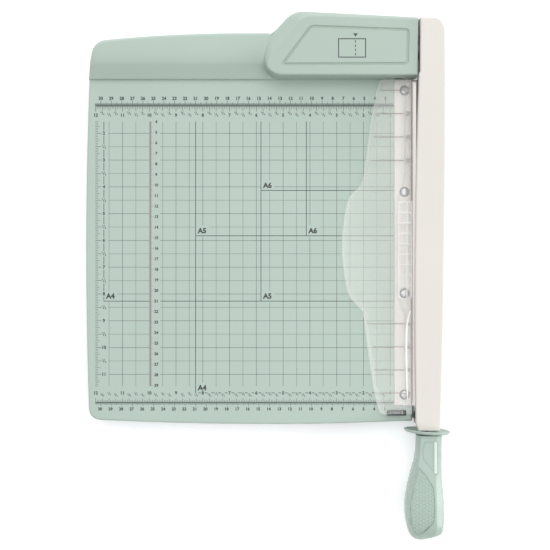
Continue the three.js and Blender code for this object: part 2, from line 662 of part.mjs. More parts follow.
function handleBody(margin) {
  const track = new THREE.CatmullRomCurve3(HANDLE_STATIONS.map(([t, left, right]) => (
    new THREE.Vector3(t, left, right))));
  const heights = new THREE.SplineCurve(HANDLE_STATIONS.map(([t, , , half]) => V2(t, half)));
  const steps = 16;
  const section = [...HANDLE_SECTION, ...HANDLE_SECTION.slice(1, -1).reverse().map(([x, z]) => [x, -z])];
  const rings = [];
  for (let i = 0; i <= steps; i++) {
    const at = track.getPoint(i / steps);
    const half = heights.getPoint(i / steps).y - margin;
    const [left, right] = [at.y + margin, at.z - margin];
    const y = HANDLE_START - at.x;
    rings.push(section.map(([x, z]) => (
      new THREE.Vector3((left + right) / 2 + x * (right - left) / 2, y, HANDLE_Z + z * half))));
  }
  return loft(rings);
}

const HANDLE_SCREWS = [[17, -352], [6.5, -412]];
const GRIPS = {
  grip_pad_upper: [[5.4, -341.5], [16.4, -341.5], [16.2, -371], [4.6, -358.5], [3.6, -352]],
  grip_pad_lower: [[-1, -363.5], [6.6, -371.5], [14.4, -384], [15.6, -399], [14.8, -417], [1, -431],
    [-6.5, -425], [-9.2, -410], [-8.6, -398], [-5.2, -384]],
};
const GRIP_DEPTH = 1.3;

// The skin of the handle's top inside a grip's outline, drawn in by a margin.
function gripSkin(corners, margin, depth) {
  const outline = inset(pointsOf(roundedPolygon(corners, 2), 4).reverse(), margin);
  const skin = handleBody(margin > 0 ? 0 : -0.01).subtract(handleBody(depth));
  return prismZ(outline, HANDLE_Z + 2, 60).intersect(skin);
}

function handleShell(low, high) {
  const half = box(-60, 60, -450, HANDLE_START - 0.01, low, high);
  const shell = handleBody(0).intersect(half).subtract(tangSlot());
  const headHoleR = 3.7;
  return withHoles(withHoles(shell, HANDLE_SCREWS, 15, 34, PILOT_R), HANDLE_SCREWS, 0, 17.5, headHoleR);
}

const upperShell = () => Object.values(GRIPS).reduce(
  (shell, corners) => shell.subtract(gripSkin(corners, 0, GRIP_DEPTH + GAP)),
  handleShell(HANDLE_Z + 0.1, 60));

// ---- materials --------------------------------------------------------------
const paint = (color, roughness, metalness = 0, extra = {}) => (
  new THREE.MeshStandardMaterial({ color, roughness, metalness, ...extra }));
const mint = () => paint('#bfd0c4', 0.45);
const mintGrip = () => paint('#b9cfc2', 0.6);
const cream = () => paint('#eee9e2', 0.4);
const clear = () => paint('#e8f0ee', 0.08, 0, { transparent: true, opacity: 0.35 });
const brushed = () => paint('#ddd6d0', 0.35, 0.9);
const plated = () => paint('#c9ccd0', 0.25, 1);
const blackened = () => paint('#6b6d6c', 0.4, 0.9);
const underside = () => paint('#8f9a93', 0.6);
const rubber = () => paint('#3a3d3c', 0.9);
const bronze = () => paint('#b08d57', 0.35, 0.9);

// ---- the object -------------------------------------------------------------
const object = new THREE.Group();

function place(name, body, material, x = 0, y = 0, z = 0) {
  const mesh = new THREE.Mesh(geometryOf(body), material);
  mesh.name = name;
  mesh.position.set(x, y, z);
  object.add(mesh);
  return mesh;
}

place('base_shell', baseShell(), mint());
place('base_bottom_cover', bottomCover(), underside());
FEET.forEach(([x, y], i) => place(`foot_${i + 1}`, foot(), rubber(), x, y, 0));

const smallScrew = { headRadius: 3.2, headHeight: 1.8, shankRadius: 1.5, length: 12 };
BOTTOM_SCREWS.forEach(([x, y], i) => {
  place(`bottom_screw_${i + 1}`, screw(smallScrew), plated(), x, y, 3).rotation.x = Math.PI;
});
HOUSING_SCREWS.forEach(([x, y], i) => {
  const seatZ = BOARD_Z - WALL - 0.2;
  place(`housing_screw_${i + 1}`, screw(smallScrew), plated(), x, y, seatZ).rotation.x = Math.PI;
});
BRACKET_SCREWS.forEach(([x, y], i) => {
  place(`bracket_screw_${i + 1}`, screw(smallScrew), plated(), x, y, BOARD_Z + BRACKET.thick + GAP);
});

place('fixed_blade', fixedBlade(), brushed());
const stripScrew = { headRadius: 4.55, headHeight: 2.1, shankRadius: 2, length: 11, countersunk: true };
STRIP_SCREWS.forEach(([x, y], i) => {
  place(`fixed_blade_screw_${i + 1}`, screw(stripScrew), plated(), x, y, BOARD_Z - 2.2);
});
place('finger_guard', fingerGuard(), clear());
const guardTop = GUARD.under + GUARD.thick;
const tongueScrew = screw({ ...smallScrew, length: 8 });
place('guard_rear_screw', tongueScrew, plated(), ...TONGUE_SCREW, guardTop + 0.1);
place('guard_clip', guardClip(), blackened());
const clipScrew = { headRadius: 1.5, headHeight: 0.8, shankRadius: 1, length: 10 };
CLIP_SCREWS.forEach(([x, y], i) => {
  place(`guard_clip_screw_${i + 1}`, screw(clipScrew), plated(), x, y, guardTop + 1);
});

place('pivot_housing', pivotHousing(), mint());
place('pivot_bracket', pivotBracket(), plated());
place('pivot_bush', pivotBush(), bronze());

place('arm_cover', armCover(), cream());
place('arm_bar', armBar(), plated());
place('moving_blade', movingBlade(), brushed());
BLADE_SCREW_Y.forEach((y, i) => place(`moving_blade_screw_${i + 1}`, bladeScrew(y), plated()));
place('pivot_bolt', pivotBolt(), plated());
place('thrust_washer', thrustWasher(), plated());
place('pivot_spring', pivotSpring(), plated());
place('spring_washer', springWasher(), plated());
place('pivot_nut', pivotNut(), plated());

place('hand_guard', handGuard(), mint());
place('handle_upper_shell', upperShell(), mint());
place('handle_lower_shell', handleShell(0, HANDLE_Z - 0.1), mint());
for (const [name, corners] of Object.entries(GRIPS)) {
  place(name, gripSkin(corners, 0.35, GRIP_DEPTH), mintGrip());
}
const handleScrew = { ...smallScrew, length: 15 };
HANDLE_SCREWS.forEach(([x, y], i) => {
  place(`handle_screw_${i + 1}`, screw(handleScrew), plated(), x, y, 17.3).rotation.x = Math.PI;
});

// The origin goes under the middle of the object, on the table.
const bounds = new THREE.Box3().setFromObject(object, true);
object.position.set(-(bounds.min.x + bounds.max.x) / 2, -(bounds.min.y + bounds.max.y) / 2, -bounds.min.z);

const group = new THREE.Group();
group.add(object);
export default group;
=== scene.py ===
"""The looks of a lever-arm paper trimmer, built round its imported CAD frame.

Lengths are millimetres from the same datum that the part is drawn from: x from the cut, y from
the paper fence and z from the table. at() turns them into the frame's metres.
"""
import json
import math

import bmesh
import bpy
import numpy as np
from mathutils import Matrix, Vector
from mathutils.geometry import delaunay_2d_cdt


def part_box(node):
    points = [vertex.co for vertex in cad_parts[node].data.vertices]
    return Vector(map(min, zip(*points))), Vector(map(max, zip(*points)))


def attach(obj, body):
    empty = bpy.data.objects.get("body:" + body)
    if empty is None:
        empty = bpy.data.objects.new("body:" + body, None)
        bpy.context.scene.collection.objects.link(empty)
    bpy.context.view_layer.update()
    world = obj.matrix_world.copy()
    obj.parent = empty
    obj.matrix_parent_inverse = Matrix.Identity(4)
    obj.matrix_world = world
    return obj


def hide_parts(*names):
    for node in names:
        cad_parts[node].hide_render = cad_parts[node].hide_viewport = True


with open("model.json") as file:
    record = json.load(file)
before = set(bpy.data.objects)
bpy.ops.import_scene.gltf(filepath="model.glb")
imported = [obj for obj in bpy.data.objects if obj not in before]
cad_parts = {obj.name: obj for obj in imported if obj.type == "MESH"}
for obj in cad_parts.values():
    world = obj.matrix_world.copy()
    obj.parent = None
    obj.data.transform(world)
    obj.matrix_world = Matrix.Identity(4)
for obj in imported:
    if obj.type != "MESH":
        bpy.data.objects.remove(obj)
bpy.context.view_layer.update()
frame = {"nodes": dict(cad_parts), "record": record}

MM = 0.001
# Points nearer to each other than these count as one: NEAR in a plan, SLIVER in a finished mesh.
NEAR, SLIVER = 0.005, 0.001 * MM
GAP = 0.3
blade_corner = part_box("fixed_blade")[1]
CUT_X = blade_corner.x
FENCE_Y = blade_corner.y + 0.2 * MM
BOARD_Z = blade_corner.z / MM


def at(x, y, z):
    """A point of the frame, in metres, from millimetres off the cut, the fence and the table."""
    return Vector((CUT_X + x * MM, FENCE_Y + y * MM, z * MM))


# ---- plans and rings ---------------------------------------------------------
def lerp(a, b, share):
    return a + (b - a) * share


def between(value, line):
    """The height at a place, read off a line of points of place and height."""
    return float(np.interp(value, [p[0] for p in line], [p[1] for p in line]))


def smooth(value, start, end):
    """0 before start, 1 after end, and an S curve between them."""
    share = min(1.0, max(0.0, (value - start) / (end - start)))
    return share * share * (3 - 2 * share)


def path(*steps, bend=10):
    """Points along a line. A step of two numbers goes straight to a point; one of four bends
    there past a control point."""
    points = [Vector(steps[0])]
    for step in steps[1:]:
        if len(step) == 2:
            points.append(Vector(step))
            continue
        start, control, end = points[-1], Vector(step[:2]), Vector(step[2:])
        for i in range(1, bend + 1):
            t = i / bend
            points.append(start * (1 - t) ** 2 + control * 2 * t * (1 - t) + end * t * t)
    if (points[0] - points[-1]).length < 1e-6:
        points.pop()
    return points


def rounded(corners, cut, bend=5):
    """A polygon with each corner bent off, from cut millimetres before it to cut after it."""
    steps = []
    for i, corner in enumerate(corners):
        here = Vector(corner)
        before = (Vector(corners[i - 1]) - here).normalized()
        after = (Vector(corners[(i + 1) % len(corners)]) - here).normalized()
        steps.append(tuple(here + before * cut))
        steps.append((*corner, *(here + after * cut)))
    return path(*steps, bend=bend)


def spline(points, per_span=8):
    """A smooth open line through points."""
    result = []
    for i in range(len(points) - 1):
        p0 = Vector(points[max(0, i - 1)])
        p1, p2 = Vector(points[i]), Vector(points[i + 1])
        p3 = Vector(points[min(len(points) - 1, i + 2)])
        for k in range(per_span):
            t = k / per_span
            result.append(0.5 * (2 * p1 + (p2 - p0) * t + (2 * p0 - 5 * p1 + 4 * p2 - p3) * t * t
                                 + (3 * p1 - p0 - 3 * p2 + p3) * t ** 3))
    return [*result, Vector(points[-1])]


def circle(x, y, radius, count=40):
    return [Vector((x + radius * math.cos(a), y + radius * math.sin(a)))
            for a in [2 * math.pi * i / count for i in range(count)]]


def rectangle(x0, x1, y0, y1):
    return [Vector((x0, y0)), Vector((x1, y0)), Vector((x1, y1)), Vector((x0, y1))]


def inset(ring, distance):
    """A closed anticlockwise ring moved in by a distance, or out if it is negative."""
    moved = []
    for i, point in enumerate(ring):
        arriving = (point - ring[i - 1]).normalized()
        leaving = (ring[(i + 1) % len(ring)] - point).normalized()
        inward = Vector((-arriving.y - leaving.y, arriving.x + leaving.x)).normalized()
        share = max(0.5, inward.dot(Vector((-arriving.y, arriving.x))))
        moved.append(point + inward * distance / share)
    return moved


def split_at(ring, values):
    """A closed ring with extra points where it crosses y = value."""
    result = []
    for i, a in enumerate(ring):
        b = ring[(i + 1) % len(ring)]
        result.append(a)
        crossings = [v for v in values if min(a.y, b.y) + 1e-4 < v < max(a.y, b.y) - 1e-4]
        for v in sorted(crossings, reverse=a.y > b.y):
            result.append(a.lerp(b, (v - a.y) / (b.y - a.y)))
    return result


class Plan:
    """A closed outline that can say how far inside it a point is."""

    def __init__(self, ring):
        self.ring = ring
        self.a = np.array([tuple(p) for p in ring])
        self.step = np.roll(self.a, -1, 0) - self.a
        self.length2 = (self.step ** 2).sum(1)

    def depth(self, x, y):
        """The distance to the outline: positive inside it and negative outside."""
        off = np.array((x, y)) - self.a
        t = np.clip((off * self.step).sum(1) / self.length2, 0, 1)
        distance = math.sqrt(((off - t[:, None] * self.step) ** 2).sum(1).min())
        b = self.a + self.step
        crosses = (self.a[:, 1] > y) != (b[:, 1] > y)
        with np.errstate(divide="ignore", invalid="ignore"):
            at_x = self.a[:, 0] + (y - self.a[:, 1]) / self.step[:, 1] * self.step[:, 0]
        inside = np.count_nonzero(crosses & (x < at_x)) % 2
        return distance if inside else -distance


# ---- closed surfaces -----------------------------------------------------------
class Skin:
    """A closed surface put together from rings, bands between them and sheets across them."""

    def __init__(self):
        self.points = []
        self.faces = []

    def ring(self, points, z=None):
        first = len(self.points)
        self.points += [Vector((p[0], p[1], p[2] if z is None else z)) for p in points]
        return list(range(first, len(self.points)))

    def drape(self, points, height):
        return self.ring([(p[0], p[1], height(p[0], p[1])) for p in points])

    def band(self, low, high):
        for i in range(len(low)):
            j = (i + 1) % len(low)
            self.faces.append((low[i], low[j], high[j], high[i]))

    def bands(self, rings):
        for low, high in zip(rings, rings[1:]):
            self.band(low, high)

    def cap(self, ring, up=True):
        self.faces.append(tuple(ring) if up else tuple(reversed(ring)))

    def sheet(self, edge, height, rings=(), lines=(), spots=(), up=True, holes=()):
        """Fills a ring that is already there, with more rings, lines and spots inside it, each
        point at height(x, y). holes are rings that are already there too and stay open."""
        flat = [self.points[i].xy for i in edge]
        known = dict(enumerate(edge))
        edges = [(i, (i + 1) % len(edge)) for i in range(len(edge))]
        for hole in holes:
            start = len(flat)
            flat += [self.points[i].xy for i in hole]
            known.update({start + i: index for i, index in enumerate(hole)})
            edges += [(start + i, start + (i + 1) % len(hole)) for i in range(len(hole))]
        for closed, groups in ((True, rings), (False, lines)):
            for group in groups:
                start, count = len(flat), len(group)
                flat += [Vector(p[:2]) for p in group]
                edges += [(start + i, start + i + 1) for i in range(count - 1)]
                if closed:
                    edges.append((start + count - 1, start))
        flat += [Vector(p[:2]) for p in spots]
        made, _, faces, sources, _, _ = delaunay_2d_cdt(flat, edges, [], 0, NEAR, True)
        bounds = Plan(flat[:len(edge)])
        openings = [Plan([self.points[i].xy for i in hole]) for hole in holes]
        index = []
        for point, origins in zip(made, sources):
            shared = [known[o] for o in origins if o in known]
            if shared:
                index.append(shared[0])
            else:
                index.append(len(self.points))
                self.points.append(Vector((point.x, point.y, height(point.x, point.y))))
        for face in faces:
            middle = sum((made[i] for i in face), Vector((0, 0))) / len(face)
            if bounds.depth(*middle) < 0 or any(o.depth(*middle) > 0 for o in openings):
                continue
            corners = [index[i] for i in face]
            self.faces.append(tuple(corners if up else reversed(corners)))

    def stack(self, rings):
        """Closes a pile of rings into a shape of its own."""
        self.cap(rings[0], up=False)
        self.bands(rings)
        self.cap(rings[-1])
        return self

    def prism(self, ring, z0, z1):
        return self.stack([self.ring(ring, z0), self.ring(ring, z1)])

    def box(self, x0, x1, y0, y1, z0, z1):
        return self.prism(rectangle(x0, x1, y0, y1), z0, z1)

    def slab(self, ring, low, high, edge):
        """A plate whose top edge is bevelled."""
        return self.stack([self.ring(ring, low), self.ring(ring, high - edge),
                           self.ring(inset(ring, edge), high)])

    def volume(self):
        total = 0.0
        for face in self.faces:
            a = self.points[face[0]]
            for i in range(1, len(face) - 1):
                total += a.dot(self.points[face[i]].cross(self.points[face[i + 1]]))
        return total / 6

    def mesh(self, name, place=at):
        """A mesh that faces outwards, of only the points that its faces use."""
        used = sorted({i for face in self.faces for i in face})
        fresh = {old: new for new, old in enumerate(used)}
        turn = 1 if self.volume() > 0 else -1
        faces = [[fresh[i] for i in face][::turn] for face in self.faces]
        mesh = bpy.data.meshes.new(name)
        mesh.from_pydata([place(*self.points[i]) for i in used], [], faces)
        return mesh

    def piece(self, name, body, material, slot=None, node=None, sharp=40, place=at):
        """The finished surface as an object that rides on a body, and stands for a CAD node."""
        mesh = self.mesh(name, place)
        mesh.polygons.foreach_set("use_smooth", [True] * len(mesh.polygons))
        mesh.set_sharp_from_angle(angle=math.radians(sharp))
        mesh.materials.append(material)
        made = placed(name, mesh)
        made.modifiers.new("normals", "WEIGHTED_NORMAL").keep_sharp = True
        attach(made, body)
        if node:
            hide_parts(node)
        return made


def placed(name, data, spot=(0, 0, 0)):
    """A new object of the scene."""
    made = bpy.data.objects.new(name, data)
    made.location = spot
    bpy.context.scene.collection.objects.link(made)
    return made


def drop_slivers(piece):
    """Merges corners that all but touch, so that no face is a sliver."""
    tidy = bmesh.new()
    tidy.from_mesh(piece.data)
    bmesh.ops.remove_doubles(tidy, verts=tidy.verts, dist=SLIVER)
    bmesh.ops.dissolve_degenerate(tidy, edges=tidy.edges, dist=SLIVER)
    tidy.to_mesh(piece.data)
    tidy.free()


def cut_away(piece, *cutters):
    """Cuts closed surfaces out of a piece, and leaves nothing of the cutters."""
    for skin in cutters:
        mesh = skin.mesh("cutter")
        cutter = placed("cutter", mesh)
        cut = piece.modifiers.new("cut", "BOOLEAN")
        cut.object, cut.operation, cut.solver = cutter, "DIFFERENCE", "EXACT"
        piece.modifiers.move(len(piece.modifiers) - 1, 0)
        bpy.context.view_layer.objects.active = piece
        bpy.ops.object.modifier_apply(modifier="cut")
        bpy.data.objects.remove(cutter)
        bpy.data.meshes.remove(mesh)
    drop_slivers(piece)
    piece.data.set_sharp_from_angle(angle=math.radians(40))


def turned(profile, count=32):
    """Rings about the z axis from a profile of radius and height, whose ends are on the axis or
    which closes on itself."""
    skin = Skin()
    rings = [skin.ring(circle(0, 0, radius, count), z) for radius, z in profile if radius]
    if profile[0][0] == 0:
        return skin.stack(rings)
    skin.bands([*rings, rings[0]])
    return skin


def moved(skin, move):
    """The same surface with each point put through a function."""
    result = Skin()
    result.points = [Vector(move(*p)) for p in skin.points]
    result.faces = list(skin.faces)
    return result


# ---- materials -------------------------------------------------------------------
class Nodes:
    """A material's or the world's node tree, with a short way to add and join nodes."""

    def __init__(self, name, owner=None, shader="Principled BSDF"):
        self.owner = owner or bpy.data.materials.new(name)
        self.owner.use_nodes = True
        self.tree = self.owner.node_tree
        self.shader = self.tree.nodes[shader]

    def add(self, kind, settings=(), **inputs):
        node = self.tree.nodes.new(kind)
        for key, value in dict(settings).items():
            setattr(node, key, value)
        for key, value in inputs.items():
            self.feed(node.inputs[key.replace("_", " ")], value)
        return node

    def feed(self, socket, value):
        if isinstance(value, bpy.types.NodeSocket):
            self.tree.links.new(value, socket)
        else:
            socket.default_value = value

    def noise(self, scale, detail=3.0, stretch=(1, 1, 1)):
        place = self.add("ShaderNodeTexCoord").outputs["Object"]
        mapped = self.add("ShaderNodeMapping", Vector=place, Scale=stretch).outputs[0]
        return self.add("ShaderNodeTexNoise", Vector=mapped, Scale=scale, Detail=detail).outputs[0]

    def spread(self, value, low, high, start=0.3, end=0.7):
        """A value that goes from low to high as another goes from start to end."""
        return self.add("ShaderNodeMapRange", Value=value, To_Min=low, To_Max=high,
                        From_Min=start, From_Max=end).outputs[0]

    def math(self, operation, first, second):
        node = self.add("ShaderNodeMath", {"operation": operation})
        self.feed(node.inputs[0], first)
        self.feed(node.inputs[1], second)
        return node.outputs[0]

    def shade(self, value, dark, light):
        """A colour that wanders between two as a value does."""
        ramp = self.add("ShaderNodeValToRGB", Fac=value)
        for stop, place, colour in zip(ramp.color_ramp.elements, (0.3, 0.7), (dark, light)):
            stop.position, stop.color = place, (*colour, 1)
        return ramp.outputs[0]

    def mix(self, share, first, second):
        node = self.add("ShaderNodeMixShader", Fac=share)
        self.feed(node.inputs[1], first.outputs[0])
        self.feed(node.inputs[2], second.outputs[0])
        return node

    def bump(self, height, strength, distance):
        node = self.add("ShaderNodeBump", Height=height, Strength=strength, Distance=distance)
        return node.outputs[0]

    def surface(self, **values):
        for key, value in values.items():
            self.feed(self.shader.inputs[key.replace("_", " ")], value)
        return self.owner


def tint(colour, share):
    return tuple(min(1.0, c * share) for c in colour)


def moulded(name, colour, roughness, grain=0.5, grain_size=0.0006):
    """Moulded plastic: a fine etched skin, a little uneven in gloss and in colour."""
    nodes = Nodes(name)
    cloud = nodes.noise(14.0, 4.0)
    fine = nodes.noise(1 / grain_size, 2.0)
    return nodes.surface(
        Base_Color=nodes.shade(cloud, tint(colour, 0.985), tint(colour, 1.012)),
        Roughness=nodes.spread(nodes.noise(60.0, 3.0), roughness - 0.05, roughness + 0.05),
        Normal=nodes.bump(fine, grain, 0.00002),
        IOR=1.46)


def brushed(name, colour, roughness, along=(40, 1.2, 40), depth=0.25, metallic=0.85):
    """Ground steel, with fine lines along its length."""
    nodes = Nodes(name)
    lines = nodes.noise(60.0, 6.0, along)
    return nodes.surface(
        Base_Color=nodes.shade(lines, tint(colour, 1 - depth / 4), tint(colour, 1 + depth / 5)),
        Roughness=nodes.spread(lines, roughness - depth / 4, roughness + depth / 3),
        Normal=nodes.bump(lines, depth, 0.00002),
        Metallic=metallic)


def plated(name, colour, roughness):
    """Bright plated steel with faint clouding."""
    nodes = Nodes(name)
    cloud = nodes.noise(300.0, 3.0)
    return nodes.surface(
        Base_Color=nodes.shade(cloud, tint(colour, 0.92), tint(colour, 1.05)),
        Roughness=nodes.spread(cloud, roughness - 0.04, roughness + 0.06),
        Metallic=1.0)


def clear(name, colour, haze_share=0.18):
    """Clear plastic: it lets the light and the prints under it through, with a pale haze and a
    polished skin that is stronger where it is seen edge on."""
    nodes = Nodes(name)
    haze = nodes.noise(30.0, 2.0)
    nodes.surface(
        Base_Color=nodes.shade(haze, tint(colour, 0.97), tint(colour, 1.03)),
        Roughness=nodes.spread(nodes.noise(90.0, 2.0), 0.16, 0.24),
        IOR=1.49)
    through = nodes.add("ShaderNodeBsdfTransparent", Color=(0.992, 0.996, 0.993, 1))
    scattered = nodes.add("ShaderNodeBsdfTranslucent", Color=(0.9, 0.9, 0.9, 1))
    facing = nodes.add("ShaderNodeLayerWeight", Blend=0.35).outputs["Facing"]
    share = nodes.spread(facing, haze_share, haze_share + 0.3, 0, 1)
    lit_through = nodes.add("ShaderNodeLightPath").outputs["Is Shadow Ray"]
    seen = nodes.math("MULTIPLY", nodes.math("SUBTRACT", 1.0, lit_through), share)
    mixed = nodes.mix(seen, through, nodes.mix(0.3, nodes.shader, scattered))
    nodes.feed(nodes.tree.nodes["Material Output"].inputs["Surface"], mixed.outputs[0])
    return nodes.owner


def ink(name, colour):
    """Screen-printed ink, a little uneven in how densely it lies."""
    nodes = Nodes(name)
    patchy = nodes.noise(900.0, 3.0)
    return nodes.surface(
        Base_Color=nodes.shade(patchy, tint(colour, 0.9), tint(colour, 1.15)),
        Roughness=nodes.spread(patchy, 0.5, 0.65))


MINT = moulded("mint_plastic", (0.424, 0.518, 0.455), 0.5)
# A darker copy of the mint plastic for the housing, as painted shade for the weaker light on its
# top.
MINT_SHADED = moulded("mint_painted_shade", (0.402, 0.488, 0.424), 0.5)
MINT_GRIP = moulded("mint_grip", (0.395, 0.493, 0.432), 0.27, 0.5, 0.0009)
# A pale copy of the grip plastic, for the painted highlight on the upper panel.
GRIP_HIGHLIGHT_PAINT = moulded("grip_highlight_paint", (0.66, 0.74, 0.69), 0.25)
CREAM = moulded("cream_plastic", (0.70, 0.665, 0.617), 0.5, 0.35)
UNDERSIDE = moulded("underside_plastic", (0.26, 0.31, 0.28), 0.6)
RUBBER = moulded("foot_rubber", (0.04, 0.045, 0.04), 0.8, 1.0, 0.0012)
CLEAR = clear("clear_plastic", (0.97, 0.955, 0.92))
CLEAR_RIB = clear("clear_rib", (0.28, 0.25, 0.23), 0.58)
CLEAR_PALE = clear("clear_rib_pale", (0.98, 0.97, 0.955), 0.55)
# A white clear skin, for the painted highlight along the ridge's crest.
CLEAR_WHITE = clear("clear_painted_highlight", (0.97, 0.97, 0.97), 0.7)
# A dark brown clear skin, for the painted reflection along the ridge's right edge.
CLEAR_BROWN = clear("clear_edge_painted_reflection", (0.22, 0.17, 0.14), 0.5)
STRIP = brushed("strip_steel", (0.75, 0.71, 0.68), 0.3, depth=0.05, metallic=0.2)
# The blade's steel is given a dark colour so that its side reads as the shaded gap beside the
# strip: painted shade.
BLADE = brushed("blade_steel", (0.20, 0.165, 0.145), 0.3)
LAND = brushed("blade_land_steel", (0.56, 0.53, 0.505), 0.16, depth=0.05)
PLATED = plated("plated_steel", (0.74, 0.76, 0.79), 0.16)
DARK = brushed("dark_steel", (0.24, 0.25, 0.25), 0.35, (1.2, 40, 40))
CLIP_DARK = brushed("clip_dark", (0.05, 0.055, 0.05), 0.35, (1.2, 40, 40))
CLIP_STEEL = brushed("clip_steel", (0.20, 0.21, 0.21), 0.3, (1.2, 40, 40))
CLIP_LIGHT = brushed("clip_light", (0.48, 0.50, 0.49), 0.3, (1.2, 40, 40))
INNER_STEEL = plated("inner_steel", (0.16, 0.16, 0.165), 0.4)
BRONZE = plated("bronze", (0.55, 0.38, 0.20), 0.35)
INK = ink("print_dark", (0.045, 0.055, 0.052))
PALE_INK = ink("print_pale", (0.095, 0.115, 0.107))
BROWN_INK = ink("print_brown", (0.27, 0.255, 0.245))
GRID_INK = ink("print_grid", (0.10, 0.12, 0.11))
PALE_GRID_INK = ink("print_grid_pale", (0.19, 0.225, 0.205))
SIGN_INK = ink("sign_grey", (0.055, 0.06, 0.06))

CAD_MATERIALS = {
    "mint_plastic": MINT, "mint_grip": MINT_GRIP, "cream_plastic": CREAM,
    "underside_plastic": UNDERSIDE, "rubber": RUBBER, "clear_plastic": CLEAR,
    "blade_steel": BLADE, "plated_steel": INNER_STEEL, "dark_steel": DARK, "bronze": BRONZE,
}


def finish_cad_nodes():
    for entry in frame["record"]["subparts"]:
        node = frame["nodes"][entry["node"]]
        node.data.materials.clear()
        node.data.materials.append(CAD_MATERIALS[entry["material_slot"]])
        soft = node.modifiers.new("edges", "BEVEL")
        soft.width, soft.segments, soft.limit_method = 0.00012, 2, "ANGLE"
        soft.angle_limit = math.radians(50)


# ---- the base ------------------------------------------------------------------
RIM_Z = 2.5
FENCE, FENCE_STEP, FENCE_RISE = 0.0, 0.35, 3.0
CREST_Y, CREST_Z = 33.0, 38.4
POCKET_Z, POCKET_RIGHT = 5.6, -24.5
SEAT = {"left": -21.5, "front": -309.1, "back": -0.15, "z": BOARD_Z - 3.1}


def base_ring():
    ring = path(
        (-4, -322.4), (-4, -309.3), (-4, -309.1), (-4, -0.15), (-4, 0.05), (-4, 52),
        (-4, 56.4, -8, 56.8), (-108, 62.6), (-118, 63.2, -125.5, 56.4), (-139.4, 42.2),
        (-140, 41.6), (-222, 42.5, -293, 35.4), (-303.6, 34.2, -306.4, 24.5),
        (-309.2, 13, -311, 0), (-316.9, -150, -311.6, -311), (-311.2, -322.4, -299.5, -323),
        (-152, -330, -5.4, -324.1), (-4, -324.1, -4, -322.4), bend=14)
    ring = [Vector((p.x, min(p.y, 62.5))) for p in ring]
    return split_at(ring, (FENCE, FENCE + FENCE_STEP))


def housing_ring(rise, bend=12):
    """The pivot housing's plan: at its foot for rise 0, and round its flat top for rise 1."""
    def part(foot, top):
        return lerp(foot, top, rise)
    lean = 0.4
    return path(
        (-1.3 - lean, part(0.2, 0.9)), (-1.3 + lean, part(56.4, 53.8)),
        (part(-108, -100), part(62.2, 56.7)),
        (part(-117.6, -107.8), part(62.8, 57), part(-125.2, -112.8), part(56.2, 51.4)),
        (part(-139.8, -136.4), part(41, 22)),
        (part(-150.8, -147.6), part(12, 10.4), part(-139.8, -138.6), part(3.4, 4.4)),
        (part(-137.6, -134), part(0.4, 1.1), part(-131, -128.5), part(0.2, 0.9)), bend=bend)


HEAD_LINE = path((0, BOARD_Z + FENCE_RISE), (12, 34.6), (18, 38.2, CREST_Y, CREST_Z), bend=16)


def head_height(y):
    """The raised head: a short step at the fence, a plane slope and a rounded crest."""
    return between(y, HEAD_LINE)


def base_moulding():
    ring = base_ring()
    plan = Plan(ring)
    housing = Plan(housing_ring(0.2))

    def height(x, y):
        if x >= SEAT["left"] - 0.01 and SEAT["front"] - 0.01 <= y <= SEAT["back"] + 0.01:
            return SEAT["z"]
        depth = max(0.0, plan.depth(x, y))
        top, radius = BOARD_Z, 2.0
        if y < -300:
            radius += 4.0 * smooth(x, -90, -10)
        if x > -30 and -4 - x < y + 322:
            radius = 0.6
        in_head = y > FENCE + 0.2 and x < -132 and (y < 41 or x < -139.7)
        if in_head and housing.depth(x, y) < 1.1:
            top = head_height(y)
            radius = min(3.2, (top - BOARD_Z) / 1.9)
        if depth < radius and not (x > -30 and y > -309):
            top -= radius - math.sqrt(radius ** 2 - (radius - depth) ** 2)
        return top

    skin = Skin()
    low = skin.ring(inset(ring, 0.6), RIM_Z)
    rim = skin.ring(ring, RIM_Z + 0.8)
    top = skin.drape(ring, height)
    skin.bands([low, rim, top])

    lines = []
    for grow in (0, 0.2):
        x, y0, y1 = SEAT["left"] - grow, SEAT["front"] - grow, SEAT["back"] + grow
        lines.append([(-4, y1), (x, y1), (x, y0), (-4, y0)])
    for y in (FENCE, FENCE + FENCE_STEP):
        crossing = next(p for p in ring if p.x < -200 and abs(p.y - y) < 1e-3)
        lines.append([tuple(crossing), (-130, y)])
    for y in (0.8, 1.5, 2.5, 4, 6, 8.5, 12, 13.2, 14.5, 16, 18, 20.5, 24, 28, CREST_Y):
        left, right = left_side(ring, y), -134 if y < 5 else -138
        lines.append([(lerp(left, right, i / 24), y) for i in range(25)])
    lines += [run_of(inset(housing.ring, d), -120) for d in (0.9, 1.3)]
    lines += [[(x, 0.2), (x, 6)] for x in (-132.2, -131.8)]
    lines += [run_of(inset(ring, d), -150, 1.0) for d in (2.6, 3.2)]
    rings = [inset(ring, d) for d in (0.12, 0.4, 0.85, 1.4, 2.0)]
    skin.sheet(top, height, rings=rings, lines=lines)

    pocket = left_part(inset(ring, 3.0), POCKET_RIGHT)
    mouth, ceiling = skin.ring(pocket, RIM_Z), skin.ring(pocket, POCKET_Z)
    skin.sheet(low, lambda x, y: RIM_Z, up=False, holes=[mouth])
    skin.band(ceiling, mouth)
    skin.sheet(ceiling, lambda x, y: POCKET_Z, up=False)
    skin.piece("base_moulding", "base", MINT, "mint_plastic", "base_shell", sharp=50)


def side_ledge():
    """A ledge low on the base's right side, under the gap that the moving blade closes."""
    ledge = Skin().slab(rounded(rectangle(-5, -0.7, -323.2, -8), 1.0, 3), 3.2, 6.0, 0.4)
    ledge.piece("base_side_ledge", "base", UNDERSIDE, "underside_plastic")


